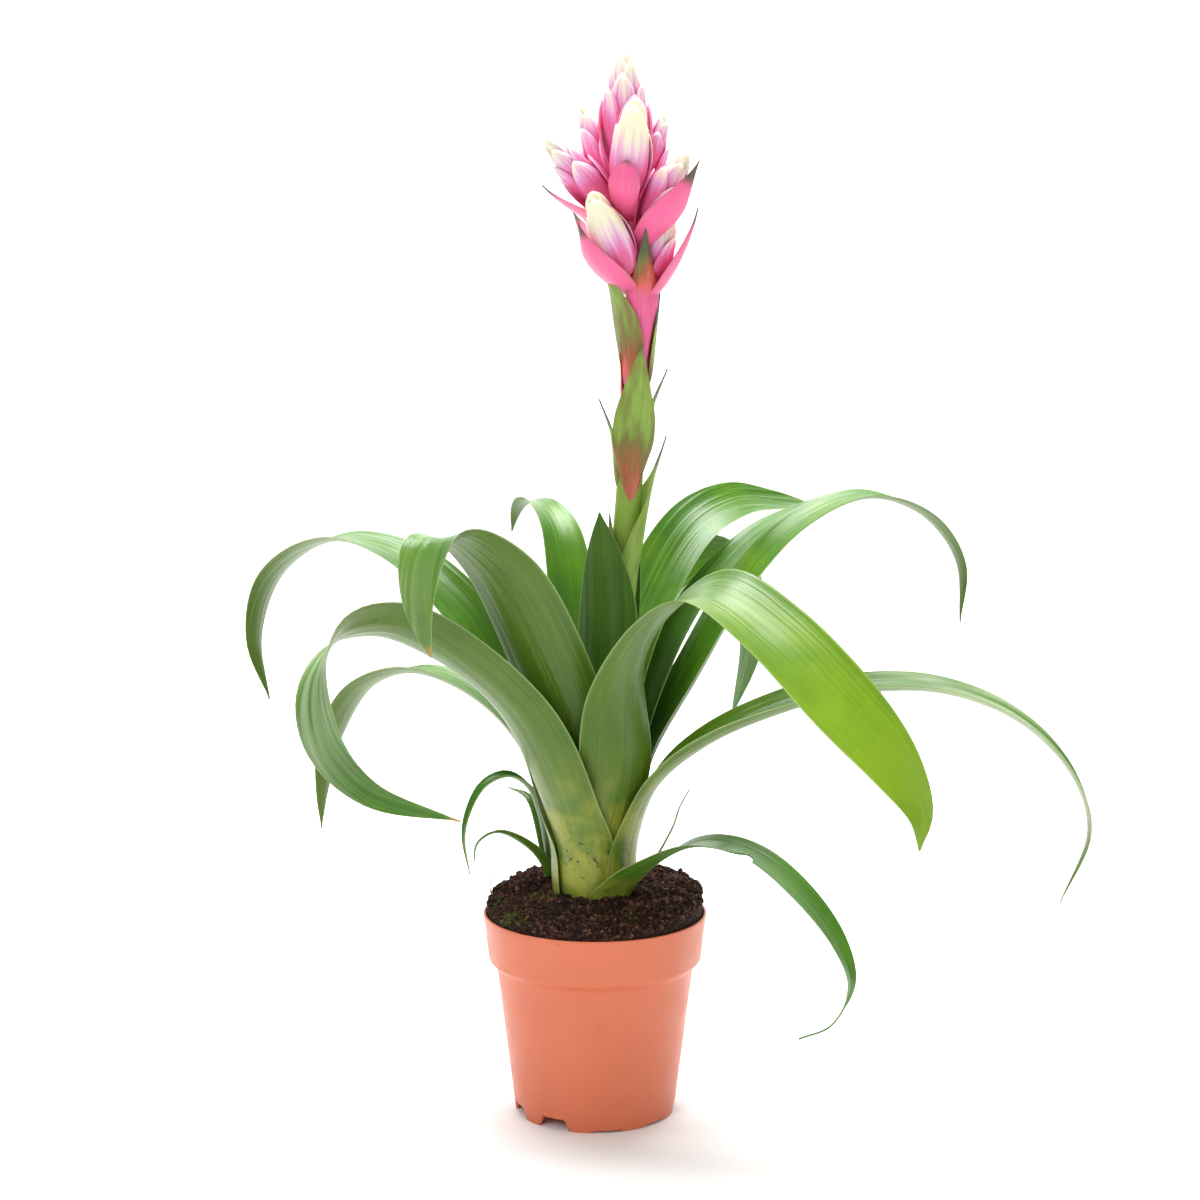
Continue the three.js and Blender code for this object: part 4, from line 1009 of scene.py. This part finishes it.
def stalk_mesh(material):
    surface = Surface()
    add_stem(surface, [(102, 7), (130, 7), (220, 7.4), (300, 7.8), (335, 7), (HEAD_FOOT - 0.1, 6)],
             [(100, 0.05), (300, 0.02), (340, 0.1), (380, 0.5)])
    for bract in STALK_BRACTS:
        add_stalk_bract(surface, **bract)
    return surface.mesh("green_flower_stalk", material)


# The cones of the flower head: foot, tip, radius, number of bracts, where their spiral starts, how creamy
# and broad they are, how far up the cone its first bract leads, and for the pink bract below it the length
# and flare as shares of the cone's own size, width, turn round the cone, outline and where it turns dusky.
CONES = {
    "front": dict(
        foot=(16, -7, 489), tip=(21, -21, 541), radius=12, bracts=5, spin=265, cream=0.22, broad=1.3,
        lead=0.95, bract=0.46, flare=0, spread=1.45, turn=-28, outline=SHIELD, dusk=0.97),
    "lower_left": dict(
        foot=(17, -7, 450), tip=(-2, -24, 494), radius=12, bracts=5, spin=265, cream=0.16, broad=1.3,
        lead=0.95, bract=0.82, flare=0.1),
    "right": dict(
        foot=(22, -5, 473), tip=(48, -15, 514), radius=11.5, bracts=8, spin=30, cream=-0.12, bract=1.02,
        flare=-0.1, spread=1.75, turn=-40, dusk=0.8),
    "left": dict(
        foot=(12.5, -2.5, 480), tip=(-26, -10, 521), radius=11, bracts=8, spin=10, cream=-0.1, bract=0.7,
        flare=0.42),
    "top": dict(
        foot=(15.7, 0, 496), tip=(15, 0, 565.6), radius=14.5, bracts=10, spin=20, cream=-0.18),
    "lower_right": dict(
        foot=(26, 0, 444), tip=(40, -2, 484), radius=9.5, bracts=7, spin=50, cream=0.0, bract=1.12,
        flare=0.1),
    "upper_left": dict(
        foot=(12, 2, 485), tip=(-7, 11, 537), radius=10, bracts=7, spin=40, cream=-0.1),
    "upper_right": dict(
        foot=(20, 2.5, 485), tip=(36, 10, 533), radius=10, bracts=7, spin=80, cream=-0.14),
    "back": dict(
        foot=(16.5, 4.5, 479), tip=(14, 26, 523), radius=11.5, bracts=7, spin=15, cream=-0.08, bract=0.7,
        flare=0.3),
    "back_left": dict(
        foot=(16, 3.5, 459), tip=(-7, 26, 500), radius=11, bracts=6, spin=25, cream=-0.08, bract=0.8,
        flare=0.3),
    "back_right": dict(
        foot=(22, 4, 456), tip=(38, 26, 494), radius=11, bracts=6, spin=55, cream=-0.08, bract=0.8,
        flare=0.3),
}


def cone_frame(cone):
    """A cone's foot, direction and length, and the side its spiral starts from."""
    foot = np.array(cone["foot"], float)
    run = np.array(cone["tip"], float) - foot
    length = np.linalg.norm(run)
    axis = run / length
    return foot, axis, length, unit(np.cross((0, 1, 0), axis))


def add_primary_bract(surface, cone):
    """The pink bract below one cone, cupped round its outer side and ending in a dark point."""
    foot, axis, length, _ = cone_frame(cone)
    out = unit([cone["tip"][0] - cone["foot"][0], cone["tip"][1] - cone["foot"][1], 0.0])
    below = unit(out - axis * np.dot(out, axis))
    turn = math.radians(cone.get("turn", 0))
    below = below * math.cos(turn) + np.cross(axis, below) * math.sin(turn)
    flare, size = cone["flare"], cone["radius"]
    stops = [(0.13, 0.95), (0.45, 1.25), (0.8, 1.22 + 0.6 * flare), (1, 1.08 + flare)]
    route = [foot + axis * share * cone["bract"] * length + below * (reach * size + 1)
             for share, reach in stops]
    route.insert(0, stalk_at(cone["foot"][2] - 12) + unit(below * (1, 1, 0)) * 3)
    add_bract(surface, route, np.cross(axis, below), size * cone.get("spread", 2.3), (0.86, 1.0, 0.8),
              cone.get("dusk", 0.86), cone.get("outline", HORN), clasp=50, opened=30)


def pink_bracts_mesh(material):
    surface = Surface()
    add_stem(surface, [(HEAD_FOOT, 6), (440, 6), (480, 5.4), (500, 4.4)],
             [(380, 0.55), (420, 0.8), (500, 0.95)])
    for bract in HEAD_BRACTS:
        add_stalk_bract(surface, **bract)
    for cone in CONES.values():
        if "bract" in cone:
            add_primary_bract(surface, cone)
    return surface.mesh("pink_head_bracts", material)


FLORAL_STATIONS = 14
FLORAL_STRIPS = 9
MERGE_DISTANCE = 2e-6


def floral_tree():
    """Lays a boat-shaped floral bract along the bend from foot to tip of each point."""
    tree, (plan, thickness, stations, strips, material) = new_tree(
        "floral_bracts", "Bracts", Plan="Geometry", Thickness="Float", Stations="Int", Strips="Int",
        Material="Material")
    grid = node(tree, "GeometryNodeMeshGrid", links={0: 1.0, 1: 1.0, 2: strips, 3: stations})
    place = node(tree, "ShaderNodeSeparateXYZ", links={0: node(tree, "GeometryNodeInputPosition")}, out=None)
    across = node(tree, "ShaderNodeMath", MULTIPLY, {0: place.outputs[0], 1: 2.0})
    share = node(tree, "ShaderNodeMath", ADD, {0: place.outputs[1], 1: 0.5})
    for name, value in (("across", across), ("share", share)):
        grid = node(tree, "GeometryNodeStoreNamedAttribute", {"domain": "POINT"},
                    {"Geometry": grid, "Name": name, "Value": value})
    each = node(tree, "GeometryNodeInstanceOnPoints", links={"Points": plan, "Instance": grid})
    each = node(tree, "GeometryNodeRealizeInstances", links={0: each})

    share, across, half_width, cup, foot, bend, tip, side, out = (
        node(tree, "GeometryNodeInputNamedAttribute", kind, {"Name": name})
        for kind, names in ((NUMBERS, ("share", "across", "half_width", "cup")),
                            (VECTORS, ("foot", "bend", "tip", "side", "out"))) for name in names)
    lower, upper = (node(tree, "ShaderNodeMix", {"data_type": "VECTOR"}, {0: share, 4: a, 5: b}, out=1)
                    for a, b in ((foot, bend), (bend, tip)))
    middle = node(tree, "ShaderNodeMix", {"data_type": "VECTOR"}, {0: share, 4: lower, 5: upper}, out=1)
    outline = node(tree, "ShaderNodeFloatCurve", links={"Value": share}, out=None)
    curve = outline.mapping.curves[0]
    for at, height in ((0.18, 0.7), (0.45, 1.0), (0.72, 0.9), (0.9, 0.52)):
        curve.points.new(at, height)
    curve.points[0].location = (0, 0.35)
    curve.points[-1].location = (1, 0.02)
    outline.mapping.update()
    half = node(tree, "ShaderNodeMath", MULTIPLY, {0: outline.outputs[0], 1: half_width})
    lateral = node(tree, "ShaderNodeMath", MULTIPLY, {0: across, 1: half})
    square = node(tree, "ShaderNodeMath", MULTIPLY, {0: across, 1: across})
    curl = node(tree, "ShaderNodeMath", MULTIPLY, {0: square, 1: half})
    curl = node(tree, "ShaderNodeMath", MULTIPLY, {0: curl, 1: cup})
    sideways, inwards = (
        node(tree, "ShaderNodeVectorMath", {"operation": "SCALE"}, {0: vector, "Scale": size})
        for vector, size in ((side, lateral), (out, curl)))
    where = node(tree, "ShaderNodeVectorMath", ADD, {0: middle, 1: sideways})
    where = node(tree, "ShaderNodeVectorMath", {"operation": "SUBTRACT"}, {0: where, 1: inwards})
    bent = node(tree, "GeometryNodeSetPosition", links={"Geometry": each, "Position": where})
    thick = node(tree, "GeometryNodeExtrudeMesh", {"mode": "FACES"},
                 {"Mesh": bent, "Offset Scale": thickness, "Individual": False})
    back = node(tree, "GeometryNodeFlipFaces", links={0: bent})
    both = node(tree, "GeometryNodeJoinGeometry", out=None)
    for half_blade in (thick, back):
        tree.links.new(half_blade, both.inputs[0])
    closed = node(tree, "GeometryNodeMergeByDistance",
                  links={"Geometry": both.outputs[0], "Distance": MERGE_DISTANCE})
    smooth = node(tree, "GeometryNodeSetShadeSmooth", links={"Geometry": closed})
    real = node(tree, "GeometryNodeRealizeInstances", links={0: smooth})
    done = node(tree, "GeometryNodeSetMaterial", links={"Geometry": real, "Material": material})
    node(tree, "NodeGroupOutput", links={0: done}, out=None)
    return tree


def cone_plan(cone, settings, seed):
    """One point for each floral bract of a cone, in golden-angle order, with the bend that it follows."""
    foot, axis, length, side = cone_frame(cone)
    beside = np.cross(axis, side)
    draw = np.random.default_rng(seed)
    count = round(cone["bracts"] * settings.bracts_per_cone)
    size, broad = cone["radius"], cone.get("broad", 1.0)
    bracts = []
    for k in range(count):
        share = k / (count - 1)
        angle = math.radians(cone["spin"]) + k * GOLDEN_ANGLE
        out = side * math.cos(angle) + beside * math.sin(angle)
        start = 0.5 * share
        leading = k == 0 and "lead" in cone
        end = cone["lead"] if leading else min(start + 0.6, 0.76 + 0.24 * share)
        reach = size * (1 - 0.3 * share)
        low = foot + axis * start * length + out * size * 0.2
        middle = foot + axis * mix(start, end, 0.45) * length + out * reach * mix(0.88, 0.5, share)
        tip = foot + axis * end * length + out * reach * (0.4 if leading else mix(0.92, 0.1, share**1.2))
        bracts.append(dict(
            foot=low * MM, bend=(2 * middle - (low + tip) / 2) * MM, tip=tip * MM,
            side=np.cross(axis, out) * MM, out=out * MM,
            half_width=size * broad * mix(0.66, 0.42, share) * draw.uniform(0.9, 1.1),
            cup=mix(0.42, 0.7, share),
            tint=mix(-0.42, -0.16, share) + cone["cream"] + draw.uniform(-0.09, 0.09)))
    mesh = bpy.data.meshes.new("plan")
    mesh.from_pydata([(0, 0, 0)] * count, [], [])
    for key, first in bracts[0].items():
        kind, field = ("FLOAT", "value") if np.ndim(first) == 0 else ("FLOAT_VECTOR", "vector")
        column = np.array([bract[key] for bract in bracts], float).ravel()
        mesh.attributes.new(key, kind, "POINT").data.foreach_set(field, column)
    return mesh


# Settings, operators and the panel

def colour_setting(name, description, default):
    return FloatVectorProperty(name=name, description=description, subtype="COLOR", size=4, min=0, max=1,
                               default=linear(default))


def length_setting(name, description, default):
    return FloatProperty(name=name, description=description, unit="LENGTH", default=default)


class GuzmaniaPotSettings(bpy.types.PropertyGroup):
    rim_radius: length_setting("Rim radius", "Outer radius of the pot at its rim",
                               (POT_HIGH.x - POT_LOW.x) / 2)
    height: length_setting("Height", "Height of the pot's rim above its foot", POT_HIGH.z - POT_LOW.z)
    plastic_colour: colour_setting("Plastic", "Colour of the moulded pot", "d5704c")
    peat_colour: colour_setting("Peat", "Colour of the damp peat", "3d251b")
    crumb_size: length_setting("Crumb size", "Half the length of the largest peat crumbs", 2.1 * MM)
    crumbs: FloatProperty(name="Crumbs", description="Crumbs on each square metre of peat", default=330000.0)
    seed: IntProperty(name="Seed", description="Seed of the peat's scatter", default=7)


class GuzmaniaPlantSettings(bpy.types.PropertyGroup):
    leaf_thickness: length_setting("Leaf thickness", "Thickness of a blade at its midrib", 0.8 * MM)
    bract_thickness: length_setting("Bract thickness", "Thickness of a floral bract", 0.5 * MM)
    bracts_per_cone: FloatProperty(name="Bracts", description="Floral bracts drawn for each one in the solid",
                                   default=1.7)
    leaf_colour: colour_setting("Leaf", "Upper side of the leaves", "437415")
    lime_colour: colour_setting("Sunlit leaf", "Upper side where a leaf is lightest", "7a9e19")
    underside_colour: colour_setting("Underside", "Lower side of the leaves", "4c6a17")
    stalk_colour: colour_setting("Stalk", "The green stalk and its bracts", "84a23c")
    pink_colour: colour_setting("Pink", "The bracts below the cones", "f0639a")
    lilac_colour: colour_setting("Lilac", "Flanks of the floral bracts", "f095cb")
    cream_colour: colour_setting("Cream", "Tips of the floral bracts", "fff3d0")
    seed: IntProperty(name="Seed", description="Seed of the small differences between bracts", default=11)


class GuzmaniaStageSettings(bpy.types.PropertyGroup):
    floor_colour: colour_setting("Floor", "Colour of the floor and the backdrop", "fbfbfb")
    light_power: FloatProperty(name="Light", description="Power of the large soft key light", unit="POWER",
                               default=14.0)
    room_light: FloatProperty(name="Room light", description="Strength of the even light all round",
                              default=0.28)


class GUZMANIA_OT_pot(bpy.types.Operator):
    """Build the nursery pot with its band, feet, notches and drain holes"""
    bl_idname = "guzmania.pot"
    bl_label = "Nursery pot"

    def execute(self, context):
        settings = context.scene.guzmania_pot
        new_piece("nursery_pot", pot_mesh(settings, pot_plastic_material(settings)), "pot_plastic", "pot")
        return {"FINISHED"}


class GUZMANIA_OT_peat(bpy.types.Operator):
    """Build the mound of peat, scatter its crumbs and lay its fibres"""
    bl_idname = "guzmania.peat"
    bl_label = "Peat"

    def execute(self, context):
        settings = context.scene.guzmania_pot
        peat = peat_material(settings)
        surface = peat_surface()
        new_piece("peat_mound", surface.mesh("peat_mound", peat, recalculate=True), "peat", "soil")
        ground = bpy.data.meshes.new("ground")
        top = [face for face in surface.faces
               if len(face) == 4 and min(surface.points[v][2] for v in face) > CRUMB_FLOOR]
        ground.from_pydata((np.array(surface.points) * MM).tolist(), [], top)
        ground.attributes.new("moss", "FLOAT", "POINT").data.foreach_set("value", surface.values["moss"])
        crumbs = run_tree(crumb_tree(), ground, "peat_crumbs", Crumbs_per_square_metre=settings.crumbs,
                          Crumb_size=settings.crumb_size, Seed=settings.seed, Material=peat)
        new_piece("peat_crumbs", crumbs, "peat")
        new_piece("dry_fibres", fibres_mesh(fibre_material()), "peat")
        return {"FINISHED"}


class GUZMANIA_OT_leaves(bpy.types.Operator):
    """Build the rosette's strap leaves and the side shoot"""
    bl_idname = "guzmania.leaves"
    bl_label = "Leaves"

    def execute(self, context):
        settings = context.scene.guzmania_plant
        material = waxy_leaf_material(settings)
        for number, (name, leaf) in enumerate(LEAVES.items()):
            mesh = leaf_mesh("blade_" + name, {**PLAIN_LEAF, **leaf}, settings, material, number)
            slot = "young_leaf" if name.startswith("young") else "leaf"
            new_piece("blade_" + name, mesh, slot, "leaf_" + name)
        new_piece("offset_shoot_leaves", offset_mesh(material), "leaf", "offset_shoot")
        return {"FINISHED"}


class GUZMANIA_OT_stalk(bpy.types.Operator):
    """Build the green flower stalk and its clasping bracts"""
    bl_idname = "guzmania.stalk"
    bl_label = "Flower stalk"

    def execute(self, context):
        material = bract_material(context.scene.guzmania_plant)
        new_piece("green_flower_stalk", stalk_mesh(material), "stalk", "flower_stalk")
        return {"FINISHED"}


class GUZMANIA_OT_head(bpy.types.Operator):
    """Build the flower head: its pink bracts and its cones of floral bracts"""
    bl_idname = "guzmania.head"
    bl_label = "Flower head"

    def execute(self, context):
        settings = context.scene.guzmania_plant
        new_piece("pink_head_bracts", pink_bracts_mesh(bract_material(settings)), "pink_bract", "pink_bracts")
        cream = floral_bract_material(settings)
        tree = floral_tree()
        for number, (name, cone) in enumerate(CONES.items()):
            plan = cone_plan(cone, settings, settings.seed + number)
            mesh = run_tree(tree, plan, "bracts_" + name, Thickness=settings.bract_thickness,
                            Stations=FLORAL_STATIONS, Strips=FLORAL_STRIPS, Material=cream)
            face_outwards(mesh)
            new_piece("bracts_" + name, mesh, "cream_bract", "cone_" + name)
        return {"FINISHED"}


class GUZMANIA_OT_stage(bpy.types.Operator):
    """Build the pale floor, the soft lights and the camera"""
    bl_idname = "guzmania.stage"
    bl_label = "Stage"

    def execute(self, context):
        build_stage(context.scene, context.scene.guzmania_stage)
        return {"FINISHED"}


# The stage

CAMERA_PLACE = (2.72, -1500.0, 541.0)
CAMERA_PITCH = 9.89
CAMERA_LENS = 86.52
SENSOR_WIDTH = 36.0
FLOOR_REACH = 3.2
BACKDROP_DISTANCE = 2.2
BACKDROP_HEIGHT = 3.0

# Each light, in metres: place, width, what it points at, and its power as a share of the key light's.
LIGHTS = {
    "key_softbox": ((-0.8, -1.5, 1.25), 1.0, (0.0, 0.0, 0.3), 1.0),
    "fill_softbox": ((1.3, -1.2, 0.7), 1.2, (0.0, 0.0, 0.3), 0.35),
    "top_softbox": ((0.0, 0.35, 1.5), 1.4, (0.0, 0.0, 0.3), 1.5),
    "backdrop_wash": ((0.0, 0.9, 2.4), 2.0, (0.0, 2.4, 0.3), 8.0),
}


def build_stage(scene, settings):
    material = new_material("matt_studio_paper", Roughness=0.9, Base_Color=settings.floor_colour)[0]
    bend = [(BACKDROP_DISTANCE + math.sin(a), 1 - math.cos(a)) for a in np.linspace(0, math.pi / 2, 16)]
    profile = [(-FLOOR_REACH, 0.0), *bend, (BACKDROP_DISTANCE + 1, BACKDROP_HEIGHT)]
    points = [(x, y, z) for y, z in profile for x in (-FLOOR_REACH, FLOOR_REACH)]
    faces = [(2 * i, 2 * i + 1, 2 * i + 3, 2 * i + 2) for i in range(len(profile) - 1)]
    mesh = bpy.data.meshes.new("studio_paper")
    mesh.from_pydata(points, [], faces)
    mesh.materials.append(material)
    mesh.shade_smooth()
    paper = put("studio_paper", mesh)
    for name, (place, width, target, share) in LIGHTS.items():
        light = bpy.data.lights.new(name, "AREA")
        light.shape, light.size, light.energy = "SQUARE", width, settings.light_power * share
        lamp = put(name, light)
        lamp.location = place
        lamp.rotation_euler = (Vector(target) - Vector(place)).to_track_quat("-Z", "Y").to_euler()
    world = bpy.data.worlds.new("white_room")
    world.use_nodes = True
    background = world.node_tree.nodes["Background"]
    background.inputs[0].default_value = (1, 1, 1, 1)
    background.inputs[1].default_value = settings.room_light
    scene.world = world
    scene.view_settings.view_transform = "Standard"
    camera = bpy.data.cameras.new("studio_camera")
    camera.lens, camera.sensor_width = CAMERA_LENS, SENSOR_WIDTH
    viewer = put("studio_camera", camera)
    viewer.location = Vector(CAMERA_PLACE) * MM
    viewer.rotation_euler = (math.radians(90 - CAMERA_PITCH), 0, 0)
    scene.camera = viewer


OPERATORS = (GUZMANIA_OT_pot, GUZMANIA_OT_peat, GUZMANIA_OT_leaves, GUZMANIA_OT_stalk, GUZMANIA_OT_head,
             GUZMANIA_OT_stage)


class GUZMANIA_PT_panel(bpy.types.Panel):
    """Lists the operators that build the plant"""
    bl_label = "Guzmania"
    bl_idname = "GUZMANIA_PT_panel"
    bl_space_type = "VIEW_3D"
    bl_region_type = "UI"
    bl_category = "Guzmania"

    def draw(self, context):
        for group in (context.scene.guzmania_pot, context.scene.guzmania_plant, context.scene.guzmania_stage):
            for key in group.bl_rna.properties.keys():
                if key not in ("rna_type", "name"):
                    self.layout.prop(group, key)
        for operator in OPERATORS:
            self.layout.operator(operator.bl_idname)


CLASSES = (GuzmaniaPotSettings, GuzmaniaPlantSettings, GuzmaniaStageSettings, *OPERATORS, GUZMANIA_PT_panel)


def register():
    for each in CLASSES:
        bpy.utils.register_class(each)
    bpy.types.Scene.guzmania_pot = PointerProperty(type=GuzmaniaPotSettings)
    bpy.types.Scene.guzmania_plant = PointerProperty(type=GuzmaniaPlantSettings)
    bpy.types.Scene.guzmania_stage = PointerProperty(type=GuzmaniaStageSettings)


def unregister():
    del bpy.types.Scene.guzmania_pot, bpy.types.Scene.guzmania_plant, bpy.types.Scene.guzmania_stage
    for each in reversed(CLASSES):
        bpy.utils.unregister_class(each)


def main():
    register()
    for operator in OPERATORS:
        family, name = operator.bl_idname.split(".")
        getattr(getattr(bpy.ops, family), name)()


if __name__ == "__main__":
    main()
